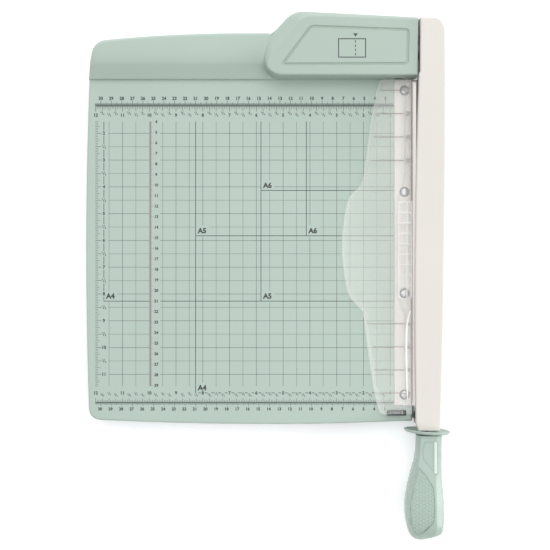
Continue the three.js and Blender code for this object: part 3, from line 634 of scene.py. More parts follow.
def left_side(ring, y):
    """Where the left side of a ring crosses y, drawn in a little."""
    return min(a.lerp(b, (y - a.y) / (b.y - a.y)).x for a, b in zip(ring, ring[1:] + ring[:1])
               if (a.y - y) * (b.y - y) <= 0 and a.y != b.y) + 0.02


def left_part(ring, right):
    """What is left of a ring once all that is right of a line has been cut off."""
    result = []
    for before, point in zip([ring[-1], *ring], ring):
        if (point.x < right) != (before.x < right):
            result.append(before.lerp(point, (right - before.x) / (point.x - before.x)))
        if point.x < right:
            result.append(point)
    return result


def run_of(ring, right, low=-1000.0):
    """The run of a ring that is left of one line and behind another."""
    keep = [p.x < right and p.y > low for p in ring]
    first = next(i for i in range(len(ring)) if keep[i] and not keep[i - 1])
    run = ring[first:] + ring[:first]
    return run[:sum(keep)]


# ---- the pivot housing ---------------------------------------------------------
HOUSING_FOOT, HOUSING_TOP, HOUSING_WALL, HOUSING_FILLET = BOARD_Z + GAP, 44.0, 2.6, 1.9
GROOVE = [(-130.6, 9.6), (-10, 10.2), (-9.2, 44.4), (-102, 47.8)]
GROOVE_SECTION = [(0, 0), (0.15, 0.1), (0.85, 1.3), (1.0, 1.4), (1.9, 1.4), (2.05, 1.3),
                  (2.75, 0.1), (2.9, 0)]


def housing_rise(z):
    """The housing's wall stands nearly upright up to the head's crest, and leans in above it."""
    return between(z, [(HOUSING_FOOT, 0), (37.2, 0.14), (38.6, 0.24),
                       (HOUSING_TOP - HOUSING_FILLET, 0.9)])


def pivot_housing():
    skin = Skin()
    wall_top = HOUSING_TOP - HOUSING_FILLET
    rings = []
    for z in (HOUSING_FOOT, HOUSING_FOOT + 0.4, 30, 34, 37.2, 38.2, 39, 40.5, wall_top):
        rings.append(skin.ring(housing_ring(housing_rise(z)), z))
    for i in range(1, 7):
        turn = math.radians(15 * i)
        rise = lerp(0.9, 1.0, math.sin(turn))
        ring = inset(housing_ring(rise), HOUSING_FILLET * (1 - math.cos(turn)))
        rings.append(skin.ring(ring, wall_top + HOUSING_FILLET * math.sin(turn)))
    skin.bands(rings)

    groove = rounded(GROOVE, 4.5, 8)
    groove_plan = Plan(groove)

    def height(x, y):
        return HOUSING_TOP - between(groove_plan.depth(x, y), GROOVE_SECTION)

    skin.sheet(rings[-1], height, rings=[inset(groove, across) for across, _ in GROOVE_SECTION])

    inner = []
    for z in (HOUSING_FOOT, 37.2, HOUSING_TOP - HOUSING_WALL):
        inner.append(skin.ring(inset(housing_ring(housing_rise(z)), HOUSING_WALL), z))
    skin.band(inner[0], rings[0])
    skin.bands(inner[::-1])
    skin.cap(inner[-1], up=False)
    made = skin.piece("pivot_housing_cover", "base", MINT_SHADED, "mint_plastic", "pivot_housing")
    slot = Skin().box(-21.8, -13.9, -3, 6, 20, 30)
    cut_away(made, on_pivot(turned([(0, -10), (9.6, -10), (9.6, 2), (0, 2)], 40)), slot)
    # A black block fills the slot that the guard enters, as painted shade for the dark opening.
    slot_shade = Skin().box(-21.6, -14.1, 0.5, 3.5, BOARD_Z + 0.05, 29.9)
    slot_shade.piece("guard_slot_painted_shade", "base", RUBBER, "rubber")


PIVOT_Y, PIVOT_Z = 26.0, 32.5


def on_pivot(skin):
    """Turns a surface made about z, so that it lies about the arm's pivot."""
    return moved(skin, lambda x, y, z: (z, PIVOT_Y + x, PIVOT_Z + y))


def housing_sign():
    """A generic sign on the housing: a sheet under a dashed cutting line."""
    skin = Skin()
    low, high = HOUSING_TOP - 0.05, HOUSING_TOP + 0.04
    x0, x1, y0, y1, line = -76.0, -50.0, 17.0, 35.0, 0.9
    middle = lerp(x0, x1, 0.62)
    for y in (y0, y1 - line):
        skin.box(x0, x1, y, y + line, low, high)
    for x in (x0, x1 - line):
        skin.box(x, x + line, y0 + line + 0.01, y1 - line - 0.01, low, high)
    for i in range(1, 5):
        y = y0 - 2.0 + i * 4.0
        skin.box(middle - 0.4, middle + 0.4, y, y + 2.2, low, high)
    skin.prism(path((middle - 2.2, y1 + 4.6), (middle, y1 + 1.4), (middle + 2.2, y1 + 4.6)), low,
               high)
    skin.piece("housing_sign", "base", SIGN_INK)


# ---- screws ------------------------------------------------------------------------
def domed_screw(radius, height, recess, length, shank):
    """A screw whose domed head sits on z = 0, and the cross that is cut into it."""
    profile = [(0, -length), (shank, -length), (shank, 0), (radius - 0.1, 0), (radius, 0.12)]
    for i in range(1, 6):
        turn = math.radians(15 * i)
        profile.append((radius * math.cos(turn), lerp(0.2, height, math.sin(turn))))
    profile += [(radius * 0.14, height), (0, height)]
    half, wide = recess
    quarter_cross = [Vector((half, -wide)), Vector((half, wide)), Vector((wide, wide))]
    corners = [Vector((p.x * c - p.y * s, p.x * s + p.y * c))
               for c, s in ((1, 0), (0, 1), (-1, 0), (0, -1)) for p in quarter_cross]
    cross = Skin()
    cross.stack([cross.ring([c * 0.55 for c in corners], height * 0.25),
                 cross.ring(corners, height + 0.5)])
    return turned(profile, 40), cross


def put_screw(name, node, body, spot, size, turn, down=False):
    skin, cross = domed_screw(*size)
    x0, y0, z0 = spot
    cos, sin = math.cos(turn), math.sin(turn)

    def move(x, y, z):
        x, y = x * cos - y * sin, x * sin + y * cos
        return (x0 + x, y0 - y, z0 - z) if down else (x0 + x, y0 + y, z0 + z)

    made = moved(skin, move).piece(name, body, PLATED, "plated_steel", node)
    cut_away(made, moved(cross, move))


# A screw's head radius and height, its cross's half length and half width, its length and shank.
STRIP_SCREW = (4.4, 2.3, (2.3, 0.5), 11, 2.0)
COVER_SCREW = (3.2, 1.8, (1.9, 0.4), 12, 1.5)
GRIP_SCREW = (3.2, 1.8, (1.9, 0.4), 15, 1.5)
STRIP_SCREW_X = -11.8
STRIP_SCREW_Y = [-10.1 - 96.2 * i for i in range(4)]


def strip_screws():
    for i, y in enumerate(STRIP_SCREW_Y):
        put_screw(f"strip_screw_{i + 1}", f"fixed_blade_screw_{i + 1}", "base",
                  (STRIP_SCREW_X, y, BOARD_Z - 2.2), STRIP_SCREW, 0.4 + 0.9 * i)
        # A dark ring round each head, painted shade for the gap round the screw.
        shade_ring = turned([(4.25, -0.7), (4.86, -0.7), (4.86, 0), (4.6, 0.12), (4.25, 0)], 40)
        shade_ring = moved(shade_ring, lambda a, b, c, y=y: (STRIP_SCREW_X + a, y + b, BOARD_Z + c))
        shade_ring.piece(f"strip_screw_shade_ring_{i + 1}", "base", DARK, "dark_steel")


def under_screws():
    spots = [(-285, -285), (-285, 0), (-150, -290), (-150, 12), (-45, -285), (-50, 10)]
    for i, (x, y) in enumerate(spots):
        put_screw(f"cover_screw_{i + 1}", f"bottom_screw_{i + 1}", "base", (x, y, 3.0),
                  COVER_SCREW, 0.7 * i, down=True)
    for i, (x, y) in enumerate([(17, -352), (6.5, -412)]):
        put_screw(f"grip_screw_{i + 1}", f"handle_screw_{i + 1}", "arm", (x, y, 17.3),
                  GRIP_SCREW, 0.5 + i, down=True)


def feet():
    for i in range(6):
        low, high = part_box(f"foot_{i + 1}")
        middle = (low + high) / 2
        profile = [(0, 0.35), (5.6, 0.35), (6.0, 0), (7.2, 0), (7.75, 0.25), (8, 0.8), (8, 2.6),
                   (7.6, 3), (2.5, 3), (2.5, 6.4), (0, 6.4)]
        skin = turned(profile, 48)
        skin.piece(f"rubber_foot_{i + 1}", "base", RUBBER, "rubber", f"foot_{i + 1}",
                   place=lambda x, y, z: Vector((middle.x + x * MM, middle.y + y * MM, z * MM)))


# ---- the fixed blade and its guard ----------------------------------------------------
GUARD_LOW, GUARD_THICK, GUARD_FLARE = 26.0, 2.0, 3.0
GUARD_BACK, GUARD_FRONT, GUARD_RIGHT = -0.8, -316.6, -5.2
GUARD_MIDDLE = (-71.7, -158.7)
RIDGE_TOP, RIDGE_WALL = 34.0, 1.4


def blade_strip():
    """The fixed blade: a ground strip with softened edges and a countersink at each screw."""
    low, edge = BOARD_Z - 3, 0.25
    ring = rectangle(-21.5, 0, -309, -0.2)
    skin = Skin()
    bottom = skin.ring(inset(ring, edge), low)
    lower = skin.ring(ring, low + edge)
    upper = skin.ring(ring, BOARD_Z - edge)
    top = skin.ring(inset(ring, edge), BOARD_Z)
    skin.bands([bottom, lower, upper, top])
    sink = [(4.8, 2.25), (4.9, 0.0)]

    def height(x, y):
        near = min(math.hypot(x - STRIP_SCREW_X, y - v) for v in STRIP_SCREW_Y)
        return BOARD_Z - between(near, sink)

    skin.sheet(top, height, rings=[circle(STRIP_SCREW_X, y, radius)
                                   for radius, _ in sink for y in STRIP_SCREW_Y])
    skin.cap(bottom, up=False)
    skin.piece("blade_strip", "base", STRIP, "blade_steel", "fixed_blade")
    land = Skin()
    foot = rectangle(GUARD_RIGHT + 0.1, -1.0, -308.9, -0.3)
    slope = land.drape(foot, lambda x, y: BOARD_Z + (0.02 if x < -2 else 0.66))
    land.stack([land.ring(foot, BOARD_Z - 0.2), slope])
    land.piece("blade_land", "base", LAND, "blade_steel")


def guard_ring():
    half = [(-36.7, -5.6), (-40.5, -19), (-45.5, -49.4), (-51, -90.8), (-53.8, -100),
            (-64.4, -112), (-69, -130)]
    front = [(x, 2 * GUARD_MIDDLE[1] - y) for x, y in half[::-1]]
    edge = spline([*half, GUARD_MIDDLE, *front], 6)
    back_corner = path((-31.5, GUARD_BACK), (-35.8, GUARD_BACK, *half[0]), bend=6)
    front_corner = path(front[-1], (-35.8, GUARD_FRONT, -31.5, GUARD_FRONT), bend=6)
    return [Vector((GUARD_RIGHT, GUARD_FRONT)), Vector((GUARD_RIGHT, GUARD_BACK)),
            *back_corner, *edge[1:-1], *front_corner]


RIDGE_NARROW, RIDGE_WIDE, RIDGE_RIGHT = -12.6, -19.6, GUARD_RIGHT - 0.5
RIDGE_BACK, RIDGE_FRONT = -1.6, -308.0
RIDGE_TURNS = (-94, -115, -206, -222)
OUTER_RIBS = [-10.6 - 22.1 * i for i in range(4)] + [-231.3 - 21.8 * i for i in range(4)]
MIDDLE_RIBS = [-116.6 - 9.8 * i for i in range(9)]


def ridge_left(y):
    """The left side of the guard's ridge, which stands further out along its middle."""
    out = [RIDGE_NARROW, RIDGE_WIDE, RIDGE_WIDE, RIDGE_NARROW]
    return between(-y, [(-turn, x) for turn, x in zip(RIDGE_TURNS, out)])


def ridge_ring():
    left = [Vector((ridge_left(y), y)) for y in RIDGE_TURNS]
    return [Vector((RIDGE_RIGHT, RIDGE_FRONT)), Vector((RIDGE_RIGHT, RIDGE_BACK)),
            Vector((RIDGE_NARROW, RIDGE_BACK)), *left, Vector((RIDGE_NARROW, RIDGE_FRONT))]


def tunnel_cells():
    """The hollows under the ridge, one between each two ribs."""
    stops = sorted([RIDGE_FRONT + 0.9, *OUTER_RIBS, *MIDDLE_RIBS, RIDGE_BACK - 0.9])
    cells = []
    for low, high in zip(stops, stops[1:]):
        low, high = low + 0.5, high - 0.5
        turns = [y for y in reversed(RIDGE_TURNS) if low < y < high]
        left = [Vector((ridge_left(y) + RIDGE_WALL, y)) for y in (low, *turns, high)]
        right = RIDGE_RIGHT - RIDGE_WALL
        cells.append([Vector((right, low)), Vector((right, high)), *reversed(left)])
    return cells


def finger_guard():
    ring = guard_ring()
    plan = Plan(ring)

    def lift(x, y):
        if x > -28:
            return 0.0
        return GUARD_FLARE * (1 - smooth(max(0.0, plan.depth(x, y)), 0.0, 4.6))

    def raised(height):
        return lambda x, y: height + lift(x, y)

    skin = Skin()
    edge, under, top = inset(ring, 0.25), raised(GUARD_LOW), raised(GUARD_LOW + GUARD_THICK)
    low_edge, high_edge = skin.drape(edge, under), skin.drape(edge, top)
    skin.bands([low_edge, skin.drape(ring, raised(GUARD_LOW + 0.3)),
                skin.drape(ring, raised(GUARD_LOW + GUARD_THICK - 0.3)), high_edge])
    flare = [run_of(inset(ring, d), -24) for d in (0.8, 1.5, 2.3, 3.2, 4.2, 5.0)]

    ridge = ridge_ring()
    foot = skin.ring(ridge, GUARD_LOW + GUARD_THICK)
    wall = skin.ring(ridge, RIDGE_TOP - 0.5)
    crest = skin.ring(inset(ridge, 0.5), RIDGE_TOP)
    skin.bands([foot, wall, crest])
    skin.sheet(crest, lambda x, y: RIDGE_TOP)
    skin.sheet(high_edge, top, lines=flare, holes=[foot])
    mouths = []
    for cell in tunnel_cells():
        mouths.append(skin.ring(cell, GUARD_LOW))
        ceiling = skin.ring(cell, RIDGE_TOP - RIDGE_WALL)
        skin.band(ceiling, mouths[-1])
        skin.cap(ceiling, up=False)
    skin.sheet(low_edge, under, lines=flare, up=False, holes=mouths)
    skin.piece("clear_guard", "base", CLEAR, "clear_plastic", "finger_guard", sharp=30)
    guard_ribs(ring)
    guard_ladder()
    guard_edges()


def guard_ladder():
    """The pale edges of the walls and ribs that divide the middle of the ridge into cells."""
    skin = Skin()
    low, high, half = RIDGE_TOP - 2.6, RIDGE_TOP - 0.1, 0.38
    back, front = RIDGE_TURNS[1] + 2, RIDGE_TURNS[2] - 2
    left, middle, right = RIDGE_WIDE + 1.4, -10.6, RIDGE_RIGHT - 0.9
    rows = [y for y in MIDDLE_RIBS if front < y < back]
    for x in (left, middle, right):
        for y0, y1 in zip([*rows[1:], front], rows):
            skin.box(x - half, x + half, y0 + half + 0.02, y1 - half - 0.02, low, high)
    for y in rows:
        skin.box(left - half, right + half, y - half, y + half, low, high)
    skin.piece("guard_ladder", "base", CLEAR_PALE, "clear_plastic")


def guard_edges():
    """A dark brown line painted along the ridge's right edge for the reflection seen in it, and a
    painted highlight along the front part of its crest.
    """
    edge = Skin()
    # Painted reflection: dark brown bars along the ridge's right edge stand for the dark line seen
    # in the clear edge.
    for y0, y1 in ((RIDGE_TURNS[1], RIDGE_BACK - 0.4), (RIDGE_FRONT + 0.4, RIDGE_TURNS[2])):
        edge.box(RIDGE_RIGHT - 1.1, RIDGE_RIGHT - 0.1, y0, y1, RIDGE_TOP - 1.8, RIDGE_TOP - 0.1)
    edge.piece("guard_edge_painted_reflection", "base", CLEAR_BROWN, "clear_plastic")
    # Painted highlight: a white strip stands for the light caught along the front part of the
    # ridge's crest.
    line = spline([(-7.4, -219), (-9.6, -226), (-10.9, -236), (-11.3, -252), (-10.9, -280),
                   (-10.2, -302)], 5)
    sides = []
    for i, p in enumerate(line):
        ahead = (line[min(i + 1, len(line) - 1)] - line[max(i - 1, 0)]).normalized()
        half_wide = 0.2 + 0.65 * math.sin(math.pi * (i + 1) / (len(line) + 1))
        aside = Vector((-ahead.y, ahead.x)) * half_wide
        sides.append((p + aside, p - aside))
    ring = [a for a, _ in sides] + [b for _, b in reversed(sides)]
    highlight_strip = Skin().prism(ring, RIDGE_TOP - 0.1, RIDGE_TOP + 0.25)
    highlight_strip.piece("guard_painted_highlight", "base", CLEAR_WHITE, "clear_plastic")


def guard_ribs(ring):
    """The ribs that run across the guard's plate and meet a web under its ridge."""
    low = GUARD_LOW + GUARD_THICK - 0.02
    half = 0.45
    for i, y in enumerate(OUTER_RIBS):
        left = min(p.x for p in ring if abs(p.y - y) < 14) + 6.0
        skin = Skin()
        skin.slab(rectangle(left, RIDGE_NARROW + 0.3, y - half, y + half), low, low + 0.75, 0.25)
        web = rounded(rectangle(-11.3, RIDGE_RIGHT - 1.6, y - 1.5, y + 1.5), 0.7, 3)
        skin.prism(web, GUARD_LOW + 0.6, RIDGE_TOP - RIDGE_WALL - 0.1)
        skin.piece(f"guard_rib_{i + 1}", "base", CLEAR_RIB, "clear_plastic")


def guard_clip():
    """A small dark plate over the guard's front edge, with a raised tab at each end."""
    low, bevel = GUARD_LOW + GUARD_THICK + 0.15, 0.2
    plate = Skin().slab(rounded(rectangle(-28.9, -10.9, -318.0, -313), 0.5, 3), low, low + 0.6,
                        bevel)
    plate.piece("front_clip", "base", CLIP_DARK, "dark_steel", "guard_clip")
    tabs = ((-28.1, -25.0, 0.5, CLIP_LIGHT), (-24.3, -15.9, 0.3, CLIP_STEEL),
            (-15.2, -11.7, 0.5, CLIP_LIGHT))
    for i, (x0, x1, tall, material) in enumerate(tabs):
        ring = rounded(rectangle(x0, x1, -316.4, -313.8), 0.3, 3)
        tab = Skin().slab(ring, low + 0.5, low + 0.6 + tall, bevel)
        tab.piece(f"clip_tab_{i + 1}", "base", material, "dark_steel")


# ---- the arm -----------------------------------------------------------------------------
ARM_BACK, ARM_FRONT, RAMP_BACK = 54.2, -331.3, 40.0
ARM_HIGH, ARM_DROP = 48.0, 14.0
ROOF, SIDE, LIP = 3.5, 2.5, 5.5


def along(y):
    return max(0.0, (RAMP_BACK - y) / (RAMP_BACK - ARM_FRONT))


def arm_top(y):
    return ARM_HIGH - ARM_DROP * along(y)


def arm_left(y):
    return 0.3 - 12.9 * along(y) + 10.6 * along(y) ** 2


def arm_right(y):
    return 22.8 + 4.1 * along(y) - 6.2 * along(y) ** 2


def arm_low(y):
    return 23 - 8 * along(y)


def quarter(x, z, radius, start, steps=6):
    """A quarter circle of points about x, z, from a start angle in degrees, clockwise."""
    angles = [math.radians(start - 90 * i / steps) for i in range(steps + 1)]
    return [(x + radius * math.cos(a), z + radius * math.sin(a)) for a in angles]


def arm_section(y):
    """The arm's outside from the lip, over the top and down the right side, and its channel."""
    corner, top_round, beside_housing = 12.3, 2.4, 3.0
    shift = max(0.0, y - (ARM_BACK - corner)) / corner
    cut = corner * (1 - math.sqrt(max(0.0, 1 - shift * shift)))
    fall = max(0.0, y - (ARM_BACK - top_round)) / top_round
    top = arm_top(y) - top_round * (1 - math.sqrt(max(0.0, 1 - fall * fall)))
    left, right, low = arm_left(y), arm_right(y) - cut, arm_low(y)
    left += 1.9 * max(0.0, 1 - (y - ARM_FRONT) / 6.5)
    roof = min(arm_top(y) - ROOF, top - 1.5)
    if y > beside_housing:
        left = max(left, 0.1)
        lip, inner_left = roof - 0.02, left + 0.3
    else:
        lip, inner_left = arm_top(y) - LIP, 0.1
    outside = [(left, lip), *quarter(left + 1.4, top - 1.4, 1.4, 180),
               *quarter(right - 1.3, top - 1.3, 1.3, 90), (right, low + 0.4), (right - 0.4, low)]
    inside = [(right - SIDE, low), (right - SIDE, roof), (inner_left, roof), (inner_left, lip)]
    return outside, inside


def arm_cover():
    skin = Skin()
    channel_end = 38.2
    ys = [ARM_FRONT + 1.5 * i for i in range(7)]
    ys += [lerp(ARM_FRONT + 12, 2.8, i / 36) for i in range(37)]
    ys += [3.2, 12, 20, 28, 34, channel_end]
    rings = []
    for y in ys:
        outside, inside = arm_section(y)
        rings.append(skin.ring([(x, y, z) for x, z in [*outside, *inside]]))
    skin.bands(rings)
    skin.cap(rings[0], up=False)
    count = len(arm_section(channel_end)[0])
    edge = rings[-1][:count]
    inner = rings[-1][count:]
    foot = skin.ring([(arm_section(channel_end)[0][0][0], channel_end, arm_low(channel_end))])
    skin.faces.append((*inner, edge[0], *foot))
    solid = [[*edge, inner[0], *foot]]
    for i in range(1, 19):
        y = lerp(channel_end, ARM_BACK - 0.003, math.sin(math.radians(5 * i)))
        outside, inside = arm_section(y)
        points = [*outside, inside[0], (outside[0][0], inside[0][1])]
        solid.append(skin.ring([(x, y, z) for x, z in points]))
    skin.bands(solid)
    skin.cap(solid[-1])
    made = skin.piece("arm_casing", "arm", CREAM, "cream_plastic", "arm_cover", sharp=34)
    cut_away(made, on_pivot(turned([(0, 15), (8, 15), (8, 30), (0, 30)], 48)))


def pivot_boss():
    profile = [(4.3, 11), (11, 11), (11, 20.4), (8, 20.4), (8, 18.3), (4.3, 18.3)]
    boss = on_pivot(turned(profile, 48))
    boss.piece("arm_bolt_boss", "arm", CREAM, "cream_plastic")


TIP_SET = 1.7


def moving_blade():
    """The moving blade: a hung curve with its cutting edge ground off on the arm's side. Its tip
    is set over towards the fixed blade, to press on it, and shows past the strip's end."""
    def top(y):
        return arm_top(y) - ROOF - 1
    edge = path((38, 24), (8, 21.5), (-170, 4.5, -319, 9), (-326, 9.5, -326, 14), bend=36)
    thick, ground = 2.0, 3.2
    skin = Skin()
    rings = []
    for y, z in edge:
        x = 0.3 - TIP_SET * smooth(-y, 310, 319)
        section = [(x, z), (x + 0.25, z), (x + thick, z + ground), (x + thick, top(y)), (x, top(y))]
        rings.append(skin.ring([(a, y, b) for a, b in section]))
    skin.stack(rings)
    made = skin.piece("cutting_blade", "arm", BLADE, "blade_steel", "moving_blade")
    holes = [on_pivot(turned([(0, -3), (4.3, -3), (4.3, 5), (0, 5)], 32))]
    for y in (-24, -120, -216, -310):
        z = top(y) - 5.5
        hole = turned([(0, -3), (3.9, -3), (3.9, 5), (0, 5)], 32)
        holes.append(moved(hole, lambda a, b, c, y=y, z=z: (c, y + a, z + b)))
    cut_away(made, *holes)


# ---- the hand guard and the handle -------------------------------------------------------
HAND_GUARD_SPOT = (9.3, -333.6, 24.5)


def hand_guard():
    """An oval dish that opens back towards the arm, with a rolled rim."""
    profile = [(0, -1.7), (0.5, -1.65), (0.76, -1.45), (0.9, -0.9), (0.965, 0.1), (0.992, 0.9),
               (1.0, 1.5), (0.985, 1.9), (0.955, 2.0), (0.925, 1.75), (0.88, 1.0), (0.78, 0.6),
               (0.5, 0.4), (0, 0.35)]
    half_wide, half_high, tilt = 22.0, 19.0, math.radians(-4)
    dish = turned(profile, 72)
    x0, y0, z0 = HAND_GUARD_SPOT

    def move(x, y, z):
        across, up = x * half_wide, y * half_high
        return (x0 + across * math.cos(tilt) - z * math.sin(tilt),
                y0 + across * math.sin(tilt) + z * math.cos(tilt), z0 - up)

    moved(dish, move).piece("hand_flange", "arm", MINT, "mint_plastic", "hand_guard")


HANDLE_START, HANDLE_Z, HANDLE_SEAM = -336.0, 25.0, 0.08
# Each station: how far along the handle it is, the left and right sides there, and the half height.
STATIONS = [(0, -1.3, 23.2, 12), (20, -2.6, 22.9, 12.1), (40, -7.8, 23.2, 13.2),
            (60, -11.8, 24.8, 14.2), (76, -11.8, 25.4, 13.9), (86, -10, 25.2, 12.3),
            (91, -8.7, 24.4, 10.2), (94.4, -7, 22.4, 7.9), (96.7, -5, 17.2, 5.8),
            (98.2, -2.8, 11, 4.2), (99.18, 0.6, 6.2, 2.8)]
TRACKS = [spline([(station[0], station[k]) for station in STATIONS]) for k in (1, 2, 3)]
UPPER_SECTION = path((-1, 0), (-1, 0.35, -0.95, 0.52), (-0.8, 0.9), (-0.76, 1, -0.68, 1),
                     (0.5, 1), (0.53, 1, 0.55, 0.985), (0.86, 0.72), (0.9, 0.68, 0.92, 0.6),
                     (1, 0.35, 1, 0), bend=4)
LOWER_SECTION = path((-1, 0), (-1, 0.5, -0.75, 0.8), (-0.6, 1, -0.3, 1), (0.3, 1),
                     (0.6, 1, 0.75, 0.8), (1, 0.5, 1, 0), bend=5)


def handle_at(y):
    """The handle's middle, half width and half height at y."""
    t = HANDLE_START - y
    left, right, half = (between(t, track) for track in TRACKS)
    return (left + right) / 2, (right - left) / 2, half


def handle_top(x, y):
    middle, wide, half = handle_at(y)
    share = between((x - middle) / wide, UPPER_SECTION)
    return HANDLE_Z + HANDLE_SEAM + share * (half - HANDLE_SEAM)


def handle_half(name, node, section, side):
    """One half of the handle: its section drawn along a line that swells, with a rounded end."""
    skin = Skin()
    rings = []
    ends = [99.18, 98.9, 98.4, 97.7, 96.8, 95.7, 94.4, 92.9, 91.2, 89.4, 87.4]
    for t in [*ends, *[85.2 - 2.84 * i for i in range(30)], 0.9, 0.5, 0.25, 0.05]:
        y = HANDLE_START - t
        middle, wide, half = handle_at(y)
        drawn_in = max(0.0, 0.6 - math.sqrt(max(0.0, 0.36 - max(0.0, 0.6 - t) ** 2)))
        wide, half = wide - drawn_in, half - drawn_in
        rings.append(skin.ring([(middle + p.x * wide, y,
                                 HANDLE_Z + side * (HANDLE_SEAM + p.y * (half - HANDLE_SEAM)))
                                for p in section]))
    skin.stack(rings)
    return skin.piece(name, "arm", MINT_GRIP, "mint_grip", node, sharp=46)


UPPER_PAD = [(5.4, -341.5), (3.6, -352), (4.6, -358.5), (16.2, -371), (16.4, -341.5)]
LOWER_PAD = [(-1, -363.5), (-5.2, -384), (-8.6, -398), (-9.2, -410), (-6.5, -425), (1, -431),
             (14.8, -417), (15.6, -399), (14.4, -384), (6.6, -371.5)]
PAD_DEPTH, PAD_EDGE = 1.2, 1.0
HEX_SIZE, HEX_TALL = 2.0, 0.45


def hexagons(outline):
    """The hexagons of a honeycomb whose middles are near an outline's inside."""
    plan = Plan(outline)
    xs, ys = [p.x for p in outline], [p.y for p in outline]
    wide, tall = 1.5 * HEX_SIZE, math.sqrt(3) * HEX_SIZE
    middles = []
    for i in range(int((max(xs) - min(xs)) / wide) + 2):
        for k in range(int((max(ys) - min(ys)) / tall) + 2):
            x, y = min(xs) + i * wide, min(ys) + (k + 0.5 * (i % 2)) * tall
            if plan.depth(x, y) > -HEX_SIZE * 0.4:
                middles.append((x, y))
    return middles


def clip(ring, outline):
    """The part of a convex ring that is inside a convex outline, both anticlockwise."""
    for a, b in zip(outline, outline[1:] + outline[:1]):
        side = [(b - a).cross(p - a) for p in ring]
        kept = []
        for i, p in enumerate(ring):
            if (side[i] > 0) != (side[i - 1] > 0):
                kept.append(ring[i - 1].lerp(p, side[i - 1] / (side[i - 1] - side[i])))
            if side[i] > 0:
                kept.append(p)
        ring = kept
    return [p for i, p in enumerate(ring) if (p - ring[i - 1]).length > 0.02]


def loose_spots(ring, margin):
    """A lattice of spots further than a margin inside a ring, so that a sheet can bend there."""
    plan = Plan(ring)
    xs, ys = [p.x for p in ring], [p.y for p in ring]
    return [(x, y) for x in np.arange(min(xs), max(xs), 1.3)
            for y in np.arange(min(ys), max(ys), 2.1) if plan.depth(x, y) > margin]


def grip_pad(name, node, corners, honeycomb):
    """A panel let into the handle's top, with a raised edge and, on one, a honeycomb."""
    ring = rounded(corners, 2.4, 5)
    plan = Plan(ring)
    inner = inset([Vector(c) for c in corners], PAD_EDGE + 0.15)
    middles = hexagons(inner) if honeycomb else []
    base = -0.3 if honeycomb else 0.0

    def relief(x, y):
        depth = plan.depth(x, y)
        edge = between(depth, [(0, 0.02), (0.3, 0.4), (0.65, 0.4), (PAD_EDGE, base)])
        if not middles or depth < PAD_EDGE:
            return edge
        across, along_y = min(((abs(x - a), abs(y - b)) for a, b in middles),
                              key=lambda d: d[0] ** 2 + d[1] ** 2)
        inside = 0.866 * HEX_SIZE - max(along_y, across * 0.866 + along_y * 0.5)
        rise = between(inside, [(0.38, 0), (0.72, HEX_TALL)])
        return base + rise * smooth(depth, PAD_EDGE, PAD_EDGE + 0.2)

    def face(x, y):
        return handle_top(x, y) + relief(x, y)

    def back(x, y):
        return handle_top(x, y) - PAD_DEPTH

    skin = Skin()
    top, low = skin.drape(ring, face), skin.drape(ring, back)
    skin.band(low, top)
    rings = [inset(ring, d) for d in (0.3, 0.65, PAD_EDGE, 1.2)]
    for x, y in middles:
        for size in (HEX_SIZE - 0.44, HEX_SIZE - 0.83):
            cell = clip(circle(x, y, size, 6), inner)
            if len(cell) > 2:
                rings.append(cell)
    spots = loose_spots(ring, 1.4)
    skin.sheet(top, face, rings=rings, spots=() if honeycomb else spots)
    skin.sheet(low, back, spots=spots, up=False)
    drop_slivers(skin.piece(name, "arm", MINT_GRIP, "mint_grip", node, sharp=38))


def pad_recess(corners):
    """What is cut out of the handle for a panel."""
    def height(x, y):
        return handle_top(x, y) - PAD_DEPTH - 0.1

    ring = inset(rounded(corners, 2.4, 5), -0.02)
    skin = Skin()
    floor, high = skin.drape(ring, height), skin.ring(ring, 60)
    skin.sheet(floor, height, spots=loose_spots(ring, 0.5), up=False)
    skin.band(floor, high)
    skin.cap(high)
    return skin


def handle():
    upper = handle_half("handle_upper", "handle_upper_shell", UPPER_SECTION, 1)
    handle_half("handle_lower", "handle_lower_shell", LOWER_SECTION, -1)
    cut_away(upper, pad_recess(UPPER_PAD), pad_recess(LOWER_PAD))
    grip_pad("upper_grip_panel", "grip_pad_upper", UPPER_PAD, honeycomb=False)
    grip_pad("lower_grip_panel", "grip_pad_lower", LOWER_PAD, honeycomb=True)
    grip_bead()


def grip_bead():
    """A painted highlight along the right edge of the upper panel: a pale strip over a dark rim
    that is shifted to its right and front, as painted shade.
    """
    # The dark rim first, shifted right and forward so that it shows as painted shade on those
    # sides, then the pale painted highlight.
    for name, material, shift, grow, lift in (("grip_highlight_painted_shade", UNDERSIDE, 0.3, 0.25, -0.25),
                                              ("grip_bead", GRIP_HIGHLIGHT_PAINT, 0.0, 0.0, 0.0)):
        skin = Skin()
        rings = []
        for drawn_in, rise in ((0, -0.9), (0, 0.3), (0.25, 0.5), (0.6, 0.6)):
            edge = drawn_in - grow
            ring = rounded(rectangle(14.3 + shift + edge, 17.2 + shift - edge,
                                     -371.5 - shift + edge, -341.3 - edge), 1.43 - edge, 6)
            rings.append(skin.ring([(p.x, p.y, handle_top(14.0, p.y) + rise + lift) for p in ring]))
        skin.stack(rings).piece(name, "arm", material, "mint_grip")


# ---- the prints ----------------------------------------------------------------------------
INCH = 25.4
PRINT_LOW, PRINT_HIGH = BOARD_Z - 0.02, BOARD_Z + 0.02
PRINT_BACK, GRID_FRONT = -39.6, -290.7
TOP_RULE, BOTTOM_RULE = -24.9, -306.2
STRIP_EDGE = -22.0
INCH_LABEL_X, CM_RULE_X, CM_LABEL_X = -297.0, -252.9, -247.3
CM_RULE_GAP = (-254, -243.4)


